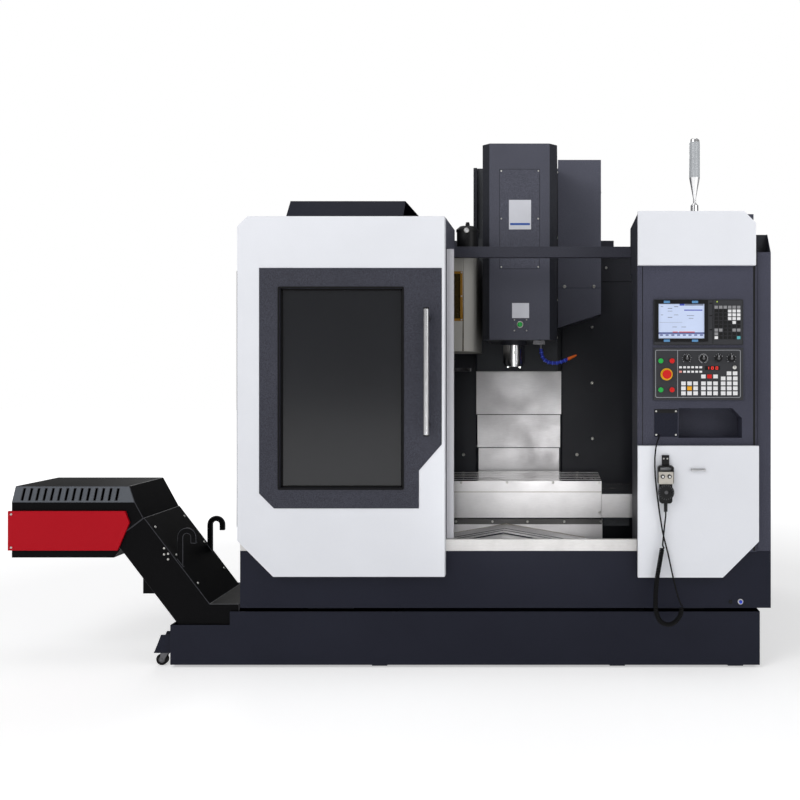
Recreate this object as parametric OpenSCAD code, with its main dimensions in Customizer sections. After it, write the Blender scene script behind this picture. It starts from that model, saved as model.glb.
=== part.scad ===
// Vertical machining centre with sliding door, coolant tank and chip conveyor.
// Modelled with the spindle axis at x = 0, the front of the apron at y = 0 and the floor at z = 0.
// place() then centres the whole machine over its footprint.

/* [Enclosure] */
// Outside width over the side walls
body_w = 2384; // [2000:4:2780]
// Thickness of the enclosure sheet
sheet = 3; // [2:0.5:5]
// Depth of the side walls
wall_depth = 1995; // [1950:5:2100]
// Height of the side walls
wall_top = 1963; // [1945:1:2100]
// Drop of the side walls at their front top corner
wall_drop = 90; // [40:1:120]
// Length of that drop along the wall
wall_slope_l = 70; // [40:1:120]
// Width of the side walls' front return
wall_return = 62; // [40:1:80]
// Thickness of the side cover on the left wall
side_cover_t = 21; // [10:1:40]
// Lower edge of the front apron above the floor
apron_z0 = 275; // [265:1:300]
// Height of the front apron
apron_h = 256; // [230:1:280]
// Depth of the apron's top flange
apron_flange = 42; // [34:1:44]
// Height of the door sill
sill_h = 52; // [30:1:60]
// Depth of the door sill
sill_d = 24; // [18:1:25]
// Left edge of the working opening from the spindle axis
opening_left = 236; // [200:1:250]
// Right edge of the working opening from the spindle axis
opening_right = 591; // [560:1:640]
// Width of the door post
post_w = 31; // [25:1:50]
// Top of the door post and of the fixed front panel
post_top = 1890; // [1800:1:1891]
// Height of the header beam
beam_h = 52; // [40:1:90]
// Depth of the header beam
beam_d = 40; // [30:1:60]
// Upper face of the roof plate
roof_top = 1948; // [1930:1:1955]
// Distance of the roof's front edge behind the apron
roof_front = 410; // [405:1:440]
// Top of the right rear splash wall
splash_top = 1915; // [1800:1:1930]
// Distance of the splash walls behind the apron
splash_y = 1400; // [1390:1:1420]
// Height of the roof hood above the roof plate
hood_rise = 235; // [150:1:300]
// Length of the roof hood across the machine
hood_l = 571; // [400:1:620]
// Depth of the roof hood
hood_d = 640; // [400:1:800]

/* [Door] */
// Distance of the door's face ahead of the apron
door_front = 50; // [46:1:70]
// Thickness of the door
door_t = 46; // [36:1:48]
// Lower edge of the door
door_z0 = 425; // [400:1:500]
// Upper edge of the door
door_top = 2026; // [1990:1:2080]
// Cut of the door's lower outer corner
door_low_cut = 160; // [80:1:200]
// Cut of the door's upper outer corner
door_top_cut = 45; // [20:1:80]
// Height of the white band above the dark fascia
door_top_band = 230; // [180:1:300]
// Height of the white band below the dark fascia
door_low_band = 304; // [240:1:340]
// Width of the white band beside the fascia on the outer side
door_side_band = 98; // [60:1:120]
// Width of the white edge on the closing side
door_edge = 13; // [8:1:20]
// Width of the white foot that steps into the fascia on the closing side
door_foot_w = 101; // [60:1:120]
// Height of that foot
door_foot_h = 168; // [100:1:200]
// Dark band around the window
window_margin = 90; // [40:1:140]
// Dark band beside the window that carries the handle
handle_band = 174.5; // [120:0.5:240]
// Glass thickness
glass_t = 8; // [5:1:12]
// Depth of the door's roof box behind the door
door_roof_d = 362; // [200:1:366]
// Height of the door's roof box
door_roof_h = 134; // [60:1:135]
// Diameter of the handle tube
handle_d = 25; // [18:1:32]
// Length of the handle tube
handle_l = 559; // [400:1:700]
// Reach of the handle ahead of the fascia
handle_reach = 45; // [35:1:60]

/* [Machine frame] */
// Width of the bed
bed_w = 860; // [800:2:880]
// Front of the bed behind the apron
bed_y0 = 200; // [190:1:240]
// Ground clearance of the bed
bed_z0 = 120; // [100:1:150]
// Upper face of the bed under the rails
bed_top = 395; // [360:1:400]
// Upper face of the bed under the column
column_z0 = 440; // [420:1:460]
// Width of the column
column_w = 500; // [480:2:510]
// Front of the column behind the apron
column_y0 = 1430; // [1425:1:1450]
// Depth of the column
column_d = 570; // [500:1:600]
// Top of the column
column_top = 2560; // [2400:1:2700]
// Wall of the column casting
column_wall = 75; // [50:1:90]
// Diameter of a levelling pad
foot_d = 130; // [100:1:160]
// Height of a levelling pad
foot_h = 30; // [20:1:40]
// Diameter of a levelling screw
foot_screw_d = 36; // [24:1:48]
// Height of the rear electrical cabinet
rear_box_h = 1900; // [1500:1:2000]
// Width of the rear electrical cabinet
rear_box_w = 1200; // [800:1:1400]
// Depth of the rear electrical cabinet
rear_box_d = 330; // [250:1:400]
// Width of the column's side cover
side_box_w = 248; // [180:1:300]
// Lower edge of the column's side cover at its outer side
side_box_z0 = 1672; // [1500:1:1800]
// Fall of that lower edge towards the spindle
side_box_fall = 80; // [20:1:120]

/* [Axes] */
// Width of a guide rail
rail_w = 45; // [30:1:55]
// Height of a guide rail
rail_h = 40; // [30:1:44]
// Distance of the Y rails from the middle
y_rail_x = 280; // [220:1:320]
// Distance of the Z rails from the middle
z_rail_x = 190; // [150:1:195]
// Spacing of the X rails
x_rail_pitch = 270; // [200:1:300]
// Clearance under the saddle above the rails
saddle_gap = 35; // [25:1:45]
// Width of the saddle casting
saddle_w = 922; // [860:2:960]
// Length of the saddle along Y
saddle_l = 500; // [450:1:500]
// Front of the saddle behind the apron
saddle_y0 = 575; // [572:1:590]
// Height of the saddle casting
saddle_h = 119; // [90:1:130]
// Width over the saddle's wings
wing_w = 1200; // [1000:2:1300]
// Thickness of the saddle's wings
wing_t = 40; // [30:1:60]
// Table length
table_l = 1000; // [800:1:1040]
// Table width
table_w = 500; // [480:1:520]
// Thickness of the table plate
table_t = 55; // [48:1:70]
// Height of the space between the saddle and the table plate
table_lift = 139; // [125:1:160]
// Table centre from the spindle axis at rest
table_x = -44; // [-60:1:60]
// Height of the skirt under the table
skirt_h = 131; // [90:1:134]
// Width of a T-slot's neck
slot_w = 18; // [14:1:22]
// Width of a T-slot's head
slot_head_w = 30; // [26:1:36]
// Depth of a T-slot's neck
slot_neck = 18; // [12:1:20]
// Height of a T-slot's head
slot_head_h = 13; // [8:1:16]
// Spacing of the T-slots
slot_pitch = 90; // [70:1:100]

/* [Way covers] */
// Thickness of the way cover sheet
cover_t = 2.5; // [1.5:0.5:3]
// Step from one telescopic cover to the next
cover_step = 6; // [5:0.5:8]
// Height of the wiper hem on a cover
hem = 12; // [8:1:20]
// Sliding clearance between covers
slip = 0.4; // [0.3:0.1:0.8]
// Length of one Y cover
y_cover_l = 270; // [230:1:275]
// Half width of the Y covers
y_cover_half = 400; // [380:1:440]
// Offset of the Y covers' ridge from the spindle axis
y_cover_x = -28; // [-40:1:40]
// Slope of the roof-shaped Y covers
y_cover_slope = 10; // [6:0.5:12]
// Ridge of the rear Y cover below the saddle's top
y_cover_drop = 25; // [15:1:40]
// Width of the upper Z cover
z_cover_w = 504; // [490:2:510]
// Length of one Z cover
z_cover_l = 255; // [228:1:262]
// Rise from one Z cover to the next
z_cover_rise = 197; // [160:1:212]
// Depth of the Z covers' side flanges
z_cover_d = 26; // [20:1:28]
// Length of one X cover
x_cover_l = 240; // [225:1:255]
// Height of the outer X covers
x_cover_h = 120; // [95:1:125]

/* [Spindle head] */
// Spindle axis behind the apron
spindle_y = 790; // [770:1:810]
// Spindle nose above the floor
nose_z = 1366; // [1340:1:1400]
// Diameter of the spindle cartridge
cartridge_d = 116; // [100:1:124]
// Length of the cartridge below the head
cartridge_l = 135; // [110:1:160]
// Diameter of the cartridge flange
flange_d = 140; // [130:1:160]
// Thickness of the cartridge flange
flange_t = 22; // [15:1:30]
// Diameter of the spindle shaft
shaft_d = 70; // [60:1:80]
// Large diameter of the tool taper
taper_d = 44.45; // [30:0.05:50]
// Depth of the tool taper
taper_l = 65; // [50:1:80]
// Width of a drive key
key_w = 15.9; // [12:0.1:18]
// Radial running clearance of shafts
fit = 0.05; // [0.02:0.01:0.1]
// Width of the head cover
head_cover_w = 384; // [360:1:386]
// Height of the head cover
head_cover_h = 1004; // [800:1:1040]
// Sideways offset of the head cover
head_cover_x = 38; // [20:1:38]
// Front of the head cover behind the apron
head_cover_y = 590; // [560:1:620]
// Depth of the head cover
head_cover_d = 585; // [500:1:590]
// Front corner cut of the head cover
head_cut = 38; // [20:1:60]
// Width of the head casting
head_w = 280; // [240:1:300]
// Height of the head casting
head_h = 300; // [250:1:400]
// Side of the spindle motor
motor_w = 220; // [180:1:260]
// Height of the spindle motor
motor_h = 480; // [350:1:560]
// Diameter of a coolant hose link
hose_d = 20; // [14:1:24]

/* [Tool magazine] */
// Number of tool pockets
pockets = 16; // [12:1:16]
// Radius of the pocket circle, which is also the magazine's stroke
pocket_r = 250; // [240:1:260]
// Width of a pocket
pocket_w = 54; // [40:1:60]
// Thickness of the carousel plate
carousel_t = 18; // [12:1:20]
// Rim of the carousel beyond the pocket circle
carousel_rim = 22; // [12:1:26]
// Clear height between the carousel and the spindle nose
carousel_gap = 8; // [5:1:12]
// Width of the magazine cover
magazine_w = 620; // [600:1:640]
// Depth of the magazine cover
magazine_d = 620; // [560:1:640]
// Bottom of the magazine cover above the spindle nose
magazine_lift = 74; // [60:1:100]
// Corner radius of the magazine cover
magazine_r = 60; // [30:1:90]
// Diameter of the magazine's guide rods
guide_d = 30; // [20:1:40]
// Width of the magazine window
magazine_window_w = 150; // [80:1:200]
// Height of the magazine window
magazine_window_h = 230; // [150:1:300]
// Diameter of the oil canister
canister_d = 108; // [80:1:120]
// Height of the oil canister
canister_h = 112; // [70:1:140]

/* [Control cabinet] */
// Depth of the control cabinet
cabinet_d = 308; // [260:1:310]
// Distance of the cabinet's face behind the white panels
face_back = 30; // [20:1:40]
// Lower edge of the white header
header_z0 = 1809; // [1780:1:1830]
// Height of the white header
header_h = 240; // [180:1:260]
// Corner cut of the white header
header_cut = 53; // [30:1:80]
// Lower edge of the lower white panel
lower_z0 = 422; // [400:1:480]
// Upper edge of the lower white panel
lower_top = 1006; // [960:1:1020]
// Corner cut of the lower white panel
lower_cut = 160; // [80:1:200]
// Width of the display and operator units
unit_w = 400; // [360:1:430]
// Lower edge of the display unit
display_z0 = 1455; // [1450:1:1480]
// Height of the display unit
display_h = 203; // [180:1:230]
// Width of the display bezel
bezel_w = 236; // [200:1:240]
// Lower edge of the operator panel
panel_z0 = 1209; // [1190:1:1210]
// Height of the operator panel
panel_h = 233; // [220:1:240]
// Thickness of the operator panel
panel_t = 8; // [7:1:12]
// Side of a key
key_s = 17; // [12:1:18]
// Diameter of a push button
button_d = 22; // [16:1:24]
// Diameter of the emergency stop's head
stop_d = 40; // [32:1:44]
// Diameter of a rotary knob
knob_d = 30; // [22:1:36]
// Length of a rotary knob
knob_l = 16; // [12:1:20]
// Lower edge of the shelf
shelf_z0 = 1040; // [1025:1:1050]
// Height of the shelf
shelf_h = 133; // [90:1:140]
// Depth of the shelf
shelf_d = 110; // [60:1:200]
// Corner cut of the shelf
shelf_cut = 44; // [20:1:60]
// Height of the signal light
beacon_h = 356; // [250:1:400]
// Diameter of the signal light
beacon_d = 48; // [36:1:60]

/* [Coolant tank] */
// Clear height between the tank and the apron
tank_gap = 21; // [16:1:30]
// Ground clearance of the tank
tank_z0 = 13; // [10:1:20]
// Front of the tank behind the apron
tank_y0 = 20; // [10:1:25]
// Depth of the tank's front part
tank_front_d = 160; // [120:1:165]
// Depth of the tank's wings
tank_wing_d = 880; // [600:1:1000]
// Reach of the tank beyond the left wall
tank_reach = 322; // [310:1:360]
// Gap between the tank's right end and the right wall
tank_right_gap = 45; // [20:1:80]
// Upper face of the tank's left step
tank_step_z = 193; // [170:1:210]
// Wall of the tank
tank_wall = 4; // [3:1:8]
// Diameter of a caster wheel
wheel_d = 52; // [40:1:54]
// Width of a caster wheel
wheel_w = 20; // [14:1:26]
// Offset of the wheel from the caster's swivel
trail = 14; // [8:1:20]

/* [Chip conveyor] */
// Width of the conveyor
conveyor_w = 400; // [340:1:405]
// Front of the conveyor behind the apron
conveyor_y0 = 30; // [28:1:60]
// Thickness of the conveyor's incline
duct_t = 170; // [150:1:190]
// Sheet of the conveyor
duct_wall = 4; // [3:1:6]
// Angle of the incline
incline = 52.7; // [48:0.1:56]
// Length of the incline's upper side
incline_l = 490; // [440:1:520]
// Height of the conveyor's foot
foot_top = 286; // [276:1:300]
// Floor of the conveyor's foot
foot_floor = 60; // [50:1:80]
// Length of the discharge hood
discharge_l = 599; // [520:1:660]
// Lower edge of the discharge hood
discharge_z0 = 495; // [450:1:510]
// Upper edge of the discharge hood
discharge_top = 815; // [790:1:850]
// Length of the discharge mouth
mouth_l = 235; // [150:1:280]
// Height of the slanted vent strip
vent_h = 70; // [50:1:80]
// Number of vent slots
vents = 14; // [8:1:18]
// Width of a vent slot
vent_w = 9; // [5:1:12]
// Height of the red side panel
red_h = 178; // [140:1:190]
// Thickness of the red side panel
red_t = 12; // [6:1:16]
// Half height of the chip belt's loop
belt_half = 42; // [34:1:46]
// Thickness of the chip belt
belt_t = 12; // [8:1:16]

/* [Hand pendant] */
// Width of the pendant
pendant_w = 70; // [60:1:80]
// Height of the pendant's body
pendant_h = 166; // [150:1:180]
// Thickness of the pendant
pendant_t = 32; // [24:1:36]
// Lower edge of the pendant's body
pendant_z0 = 755; // [755:1:760]
// Diameter of the pendant's cord
cord_d = 7; // [5:0.5:8]
// Outside diameter of the curly part of the cord
curl_d = 20; // [16:1:24]

/* [Hidden] */
$fn = 48;

// Small clearance for pieces of different bodies and for cuts that pass right through
clear = 0.3;
over = 1;

// Levels and limits of the enclosure
half_w = body_w / 2;
inner_w = half_w - sheet;
apron_top = apron_z0 + apron_h;
pan_z0 = apron_z0 + sheet;
pan_z1 = pan_z0 + sheet;
sill_top = apron_top + sill_h;
panel_y = sill_d + 2;
post_left = -opening_left - post_w;
beam_y0 = roof_front - beam_d;
roof_z0 = roof_top - sheet;
return_in = half_w - wall_return;
splash_in = z_cover_w / 2 + cover_step;

// Door outline
door_left = -half_w + 4;
door_right = post_left;
door_y = -door_front;
door_back = door_y + door_t;
fascia_proud = 2;
fascia_left = door_left + door_side_band;
fascia_right = door_right - door_edge;
fascia_z0 = door_z0 + door_low_band;
fascia_top = door_top - door_top_band;
pane_x0 = fascia_left + window_margin;
pane_x1 = fascia_right - handle_band;
pane_z0 = fascia_z0 + window_margin;
pane_z1 = fascia_top - window_margin;
glass_y = door_y + 20;
window_lip = 12;
handle_x = fascia_right - handle_band * 0.355;
handle_z = fascia_top - handle_l / 2 - 182;
handle_y = door_y - fascia_proud - handle_reach;
runner_h = 40;
runner_w = 60;

// Machine stack
saddle_z0 = bed_top + rail_h + saddle_gap;
saddle_z1 = saddle_z0 + saddle_h;
saddle_yc = saddle_y0 + saddle_l / 2 - 25;
table_z0 = saddle_z1 + table_lift;
table_top = table_z0 + table_t;
table_y0 = saddle_yc - table_w / 2;
table_y1 = saddle_yc + table_w / 2;
x_rail_h = 36;
y_ridge = saddle_z1 - y_cover_drop;
y_front = 45;

// Spindle head
head_z0 = nose_z + cartridge_l;
head_low = nose_z - 23;
head_back = column_y0 - rail_h + 12 - clear;
z_rail_t = column_y0 - head_back - clear;
z_cover_y = head_back - z_cover_d - cover_step;

// Tool magazine
magazine_x = -2 * pocket_r;
magazine_z0 = nose_z + magazine_lift;
magazine_y0 = spindle_y - magazine_d / 2;
carousel_z1 = nose_z - carousel_gap;
hub_r = pocket_r - cartridge_d / 2 - 7;
pin_d = 40;

// Control cabinet
cabinet_right = half_w - wall_return - 6;
cabinet_y = door_y + face_back;
cabinet_back = cabinet_y + cabinet_d;
header_top = header_z0 + header_h;
unit_x = (opening_right + cabinet_right - unit_w) / 2 + 5;
panel_y0 = cabinet_y - panel_t;
button_x = [32, 82];
button_z = [46, 175];
knob_x = [148, 222, 289, 347];
knob_z = 186;
stop_x = 58;
stop_z = 115;

// Coolant tank and conveyor
tank_top = apron_z0 - tank_gap;
tank_left = -half_w - tank_reach;
tank_right = half_w - tank_right_gap;
tank_step_x = -half_w - 53;
bed_aisle = bed_w / 2 + 40;
chute_x = bed_w / 2 + 270;
chute_w = 200;
chute_y = tank_y0 + 50;
chute_d = 80;
conveyor_y1 = conveyor_y0 + conveyor_w;
knee_x = -half_w - 147;
trough_right = -bed_aisle - 2 * tank_wall - 6;
trough_top = tank_top - 4;
bracket_z = wheel_d + 10;
caster_x = tank_left - 40;
caster_y = tank_y0 + 50;
discharge_left = knee_x - incline_l * cos(incline) - discharge_l;

// Pendant and its cord
pendant_x = unit_x + 49.5;
pendant_y = door_y - pendant_t;
handwheel_d = pendant_w;
handwheel_z = pendant_z0 + 50;
relief_l = 38;
cord_top = [unit_x + 23, cabinet_y - 2, shelf_z0 + 12];
relief_end = [pendant_x, door_y - pendant_t / 2, pendant_z0 - relief_l];
cord_start = [for (p = [[0, 0, 0], [0, -14, -2], [-5, -32, -16], [-14, -41, -40], [-21, -42, -98], [-19, -42, -178],
    [-9, -42, -275], [13, -42, -424], [36, -42, -516], [59, -42, -623], [80, -42, -708], [94, -42, -744]])
    cord_top + p];
cord_curl = [for (p = [[94, -42, -744], [95, -42, -780], [76, -44, -816], [42, -46, -834], [4, -48, -820],
    [-16, -50, -774], [-19, -52, -710], [-13, -54, -631], [0, -56, -552], [12, -56, -478]]) cord_top + p];
cord_end = [cord_curl[9], cord_curl[9] + [4, 0, 40], relief_end + [-5, -8, -55], relief_end + [0, -3, -18],
    relief_end];
cord_join = [0.2, 0, -1];

// Overall box, which place() centres
x_low = discharge_left - 11;
y_low = handle_y - handle_d / 2;
y_high = column_y0 + column_d + rear_box_d;

// Moves the model so that its origin is the middle of its footprint
module place() {
    translate([-(x_low + half_w) / 2, -(y_low + y_high) / 2, 0]) children();
}

// Box between two corners
module block(x0, x1, y0, y1, z0, z1) {
    translate([x0, y0, z0]) cube([x1 - x0, y1 - y0, z1 - z0]);
}

// Side outline in x and z, extruded along y
module side_shape(points, y0, y1) {
    translate([0, y1, 0]) rotate([90, 0, 0]) linear_extrude(y1 - y0) polygon(points);
}

// End outline in y and z, extruded along x
module end_shape(points, x0, x1) {
    translate([x0, 0, 0]) rotate([90, 0, 90]) linear_extrude(x1 - x0) polygon(points);
}

// Cylinders along each axis from a start point
module rod_x(p, d, l) {
    translate(p) rotate([0, 90, 0]) cylinder(d = d, h = l);
}

module rod_y(p, d, l) {
    translate(p) rotate([-90, 0, 0]) cylinder(d = d, h = l);
}

module rod_z(p, d, l) {
    translate(p) cylinder(d = d, h = l);
}

// Copies children to both sides of the middle plane
module both_sides() {
    children();
    mirror([1, 0, 0]) children();
}

// Plan of a rectangle with round corners
module round_plan(x0, x1, y0, y1, r) {
    translate([x0 + r, y0]) square([x1 - x0 - 2 * r, y1 - y0]);
    translate([x0, y0 + r]) square([x1 - x0, y1 - y0 - 2 * r]);
    for (x = [x0 + r, x1 - r], y = [y0 + r, y1 - r]) translate([x, y]) circle(r);
}

// Cast base with levelling feet and the Y rails
module bed() {
    color("dimgray") place() {
        block(-bed_w / 2, bed_w / 2, bed_y0, column_y0 - 100, bed_z0, bed_top);
        block(-bed_w / 2 + 30, bed_w / 2 - 30, column_y0 - 101, column_y0 + column_d, bed_z0, column_z0);
        block(-bed_w / 2 - 20, bed_w / 2 + 20, bed_y0 + 10, column_y0 + column_d - 20, pan_z0 - 36, pan_z0);
        both_sides() {
            block(y_rail_x - rail_w / 2, y_rail_x + rail_w / 2, bed_y0 + 10, column_y0 - 110,
                bed_top - over, bed_top + rail_h);
            for (y = [bed_y0 + 100, column_y0 - 300, column_y0 + column_d - 100]) {
                rod_z([y_rail_x + 60, y, 0], foot_d, foot_h);
                rod_z([y_rail_x + 60, y, 0], foot_screw_d, bed_z0 + over);
            }
        }
    }
}

// Column casting with lightening windows and the Z rails
module column() {
    window_d = 180;
    window_gap = 360;
    color("dimgray") place() {
        difference() {
            block(-column_w / 2, column_w / 2, column_y0, column_y0 + column_d, column_z0, column_top);
            block(-column_w / 2 + column_wall, column_w / 2 - column_wall, column_y0 + column_wall,
                column_y0 + column_d - column_wall, column_z0 + column_wall, column_top - column_wall);
            for (z = [column_z0 + 300 : window_gap : column_top - 200])
                rod_x([-column_w / 2 - over, column_y0 + column_d / 2, z], window_d, column_w + 2 * over);
        }
        both_sides()
            block(z_rail_x - rail_w / 2, z_rail_x + rail_w / 2, column_y0 - z_rail_t, column_y0 + over,
                column_z0 + 160, column_top - 60);
    }
}

// Box beside the column for hoses and cables
module column_side_cover() {
    x0 = column_w / 2 - 17;
    x1 = x0 + side_box_w;
    color("darkslategray") place() {
        side_shape([[x0, side_box_z0 - side_box_fall], [x1, side_box_z0], [x1, column_top], [x0, column_top]],
            splash_y - 200, splash_y);
        block(column_w / 2, x1, splash_y - over, column_y0 + column_d - 200, splash_top + sheet, column_top);
    }
}

// Electrical cabinet on the back of the column with a recessed cover
module rear_cabinet() {
    y0 = column_y0 + column_d;
    z0 = pan_z0 + 30;
    rim = 40;
    color("darkslategray") place() difference() {
        block(-rear_box_w / 2, rear_box_w / 2, y0, y0 + rear_box_d, z0, z0 + rear_box_h);
        block(-rear_box_w / 2 + rim, rear_box_w / 2 - rim, y0 + rear_box_d - 6, y0 + rear_box_d + over,
            z0 + rim, z0 + rear_box_h - rim);
    }
}

// Tank that runs in front of the bed and along both sides, with a well for the conveyor
module coolant_tank() {
    pad = 70;
    color("darkslategray") place() {
        difference() {
            union() {
                block(tank_left, tank_step_x, tank_y0, tank_y0 + tank_wing_d, tank_z0, tank_step_z);
                block(tank_step_x, tank_right, tank_y0, tank_y0 + tank_front_d, tank_z0, tank_top);
                block(tank_step_x, -bed_aisle, tank_y0, tank_y0 + tank_wing_d, tank_z0, tank_top);
                block(bed_aisle, tank_right, tank_y0, tank_y0 + tank_wing_d * 0.75, tank_z0, tank_top);
            }
            block(tank_left + 2 * tank_wall, -bed_aisle - tank_wall, conveyor_y0 - 6, conveyor_y1 + 10,
                foot_floor, tank_top + over);
            block(chute_x - pad, tank_right - tank_wall, tank_y0 + tank_wall, chute_y + chute_d, foot_floor,
                tank_top + over);
        }
        for (x = [tank_right - pad, bed_aisle + pad, -bed_aisle - pad])
            for (y = [tank_y0 + 30, tank_y0 + tank_wing_d * 0.6])
                block(x - pad, x, y, y + pad, 0, tank_z0 + over);
        for (y = caster_rows()) caster_bracket(y);
    }
}

function caster_rows() = [caster_y, caster_y + tank_wing_d - 140];

// Gusseted bracket that carries a caster on the tank's end
module caster_bracket(y) {
    reach = 80;
    plate = 6;
    block(tank_left - reach, tank_left + over, y - 35, y + 35, bracket_z, bracket_z + plate);
    for (side = [y - 35, y + 35 - plate])
        side_shape([[tank_left - reach, bracket_z], [tank_left + over, bracket_z],
            [tank_left + over, bracket_z + 82], [tank_left - reach + 32, bracket_z + 82]], side, side + plate);
}

// Roof-shaped cover sheet across the machine
module roof_sheet(ridge, half, t, y0, y1) {
    fall = half * tan(y_cover_slope);
    translate([y_cover_x, 0, 0]) side_shape([[-half, ridge - fall], [0, ridge], [half, ridge - fall],
        [half, ridge - fall - t], [0, ridge - t], [-half, ridge - fall - t]], y0, y1);
}

// Space of the two chutes from the pan to the tank, widened by one wall
module chutes(wall, z0, z1) {
    both_sides() block(chute_x - wall, chute_x + chute_w + wall, chute_y - wall, chute_y + chute_d + wall, z0, z1);
}

// Chip pan around the bed, with its chutes to the tank and the fixed front Y cover
module chip_pan() {
    ridge = y_ridge - 2 * cover_step;
    edge = ridge - y_cover_half * tan(y_cover_slope) - cover_t / 2;
    color("dimgray") place() {
        difference() {
            block(-inner_w, inner_w, sheet, wall_depth, pan_z0, pan_z1);
            block(-bed_w / 2 - over, bed_w / 2 + over, bed_y0 - over, wall_depth + over, pan_z0 - over,
                pan_z1 + over);
            chutes(0, pan_z0 - over, pan_z1 + over);
        }
        difference() {
            chutes(sheet, tank_top, pan_z0 + over);
            chutes(0, tank_top - over, pan_z1 + over);
        }
        roof_sheet(ridge, y_cover_half, cover_t, y_front, y_front + y_cover_l);
        translate([y_cover_x, 0, 0]) both_sides() {
            block(y_cover_half - cover_t, y_cover_half, y_front, bed_y0 - over, pan_z1 - over, edge);
            block(y_cover_half - cover_t, y_cover_half, bed_y0 - 2 * over, y_front + y_cover_l, bed_top, edge);
        }
    }
}

// Folded front apron under the door
module front_apron() {
    color("darkslategray") place() {
        block(-half_w, half_w, 0, sheet, apron_z0, apron_top);
        block(-inner_w, inner_w, 0, apron_flange, apron_top - sheet, apron_top);
        block(-inner_w, inner_w, 0, apron_flange, apron_z0, pan_z0);
    }
}

// Stainless sill that the door runs on
module door_sill() {
    color("silver") place() difference() {
        block(-return_in + 2, opening_right, 0, sill_d, apron_top, sill_top);
        block(-return_in + 2 - over, opening_right + over, cover_t, sill_d - cover_t, apron_top - over,
            sill_top - cover_t);
    }
}

// Fixed panel behind the door with the door post at its edge
module left_front_panel() {
    color("darkslategray") place() {
        block(-return_in + 2, post_left, panel_y, panel_y + sheet, apron_top, post_top);
        block(post_left, -opening_left, panel_y, apron_flange, apron_top, post_top);
    }
}

// Right side wall with its front return, in side view sloped at the front top
module side_wall() {
    end_shape([[sheet, apron_z0], [wall_depth, apron_z0], [wall_depth, wall_top],
        [sheet + wall_slope_l, wall_top], [sheet, wall_top - wall_drop]], inner_w, half_w);
    block(return_in, half_w, 0, sheet, apron_top, wall_top - wall_drop);
}

// Both side walls, the left one with an outer cover
module side_walls() {
    cover_l = wall_depth * 0.57;
    cover_z0 = apron_top + wall_return;
    color("darkslategray") place() {
        both_sides() side_wall();
        block(-half_w - side_cover_t, -half_w, wall_return, wall_return + cover_l, cover_z0,
            wall_top - wall_drop - wall_return / 2);
    }
}

// Splash wall cut out over the bed
module splash_wall(top) {
    side_shape([[splash_in, column_z0], [bed_w / 2 + over, column_z0], [bed_w / 2 + over, pan_z1],
        [inner_w, pan_z1], [inner_w, top], [splash_in, top]], splash_y, splash_y + sheet);
}

// Splash walls on both sides of the column and the fixed lowest Z cover
module rear_splash_walls() {
    color("darkslategray") place() {
        splash_wall(splash_top);
        mirror([1, 0, 0]) splash_wall(roof_z0);
        z_cover(3, column_y0);
    }
}

// Fixed roof plate with the folded hood over the magazine
module roof_hood() {
    x1 = magazine_x + magazine_w / 2 - 110;
    canister_end = -head_cover_w / 2 + head_cover_x - 4;
    hood_x = -half_w + 101;
    y0 = beam_y0;
    color("darkslategray") place() {
        block(-inner_w, x1, roof_front, splash_y, roof_z0, roof_top);
        block(x1 - over, canister_end, roof_front, magazine_y0 + 60, roof_z0, roof_top);
        difference() {
            hood_form(hood_x, hood_x + hood_l, y0, 0);
            hood_form(hood_x + sheet, hood_x + hood_l + over, y0, sheet);
        }
    }
}

// Outline of the roof hood, drawn in by one wall
module hood_form(x0, x1, y0, wall) {
    end_shape([[y0 + wall, roof_top - over * sign(wall)], [y0 + wall, roof_top + hood_rise * 0.65 - wall * 0.4],
        [y0 + hood_rise * 0.3 + wall * 0.6, roof_top + hood_rise - wall], [y0 + hood_d - wall, roof_top + hood_rise - wall],
        [y0 + hood_d - wall, roof_top - over * sign(wall)]], x0, x1);
}

// Hollow beam over the working opening
module header_beam() {
    color("darkslategray") place() difference() {
        block(-inner_w, opening_right, beam_y0, roof_front, roof_top - beam_h, roof_top);
        block(-inner_w - over, opening_right + over, beam_y0 + sheet, roof_front - sheet,
            roof_top - beam_h + sheet, roof_top - sheet);
    }
}

// Left edge of the shelf's open part, beside the cable outlet plate
shelf_x0 = unit_x + 112;

// Control cabinet with the shelf and the cable outlet plate
module control_cabinet() {
    shelf_x1 = unit_x + unit_w - 4;
    shelf_top = shelf_z0 + shelf_h;
    color("darkslategray") place() {
        difference() {
            union() {
                block(opening_right, cabinet_right, cabinet_y, cabinet_back, apron_top, header_z0);
                block(opening_right, cabinet_right - 14, cabinet_y, roof_front, header_z0 - over,
                    header_top - 9);
            }
            side_shape([[shelf_x0, shelf_z0], [shelf_x1, shelf_z0], [shelf_x1, shelf_top - shelf_cut],
                [shelf_x1 - shelf_cut, shelf_top], [shelf_x0, shelf_top]], cabinet_y - over,
                cabinet_y + shelf_d);
        }
        block(unit_x + 4, unit_x + 108, cabinet_y - 2, cabinet_y + over, shelf_z0 + 5, shelf_top - 5);
        for (x = [unit_x + 12, unit_x + 100], z = [shelf_z0 + 14, shelf_top - 14])
            rod_y([x, cabinet_y - 4, z], 8, 4);
    }
}

// Folded tray with one cut corner, open at its back
module tray(outline, inner) {
    difference() {
        side_shape(outline, door_y, cabinet_y);
        side_shape(inner, door_y + sheet, cabinet_y + over);
    }
}

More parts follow.
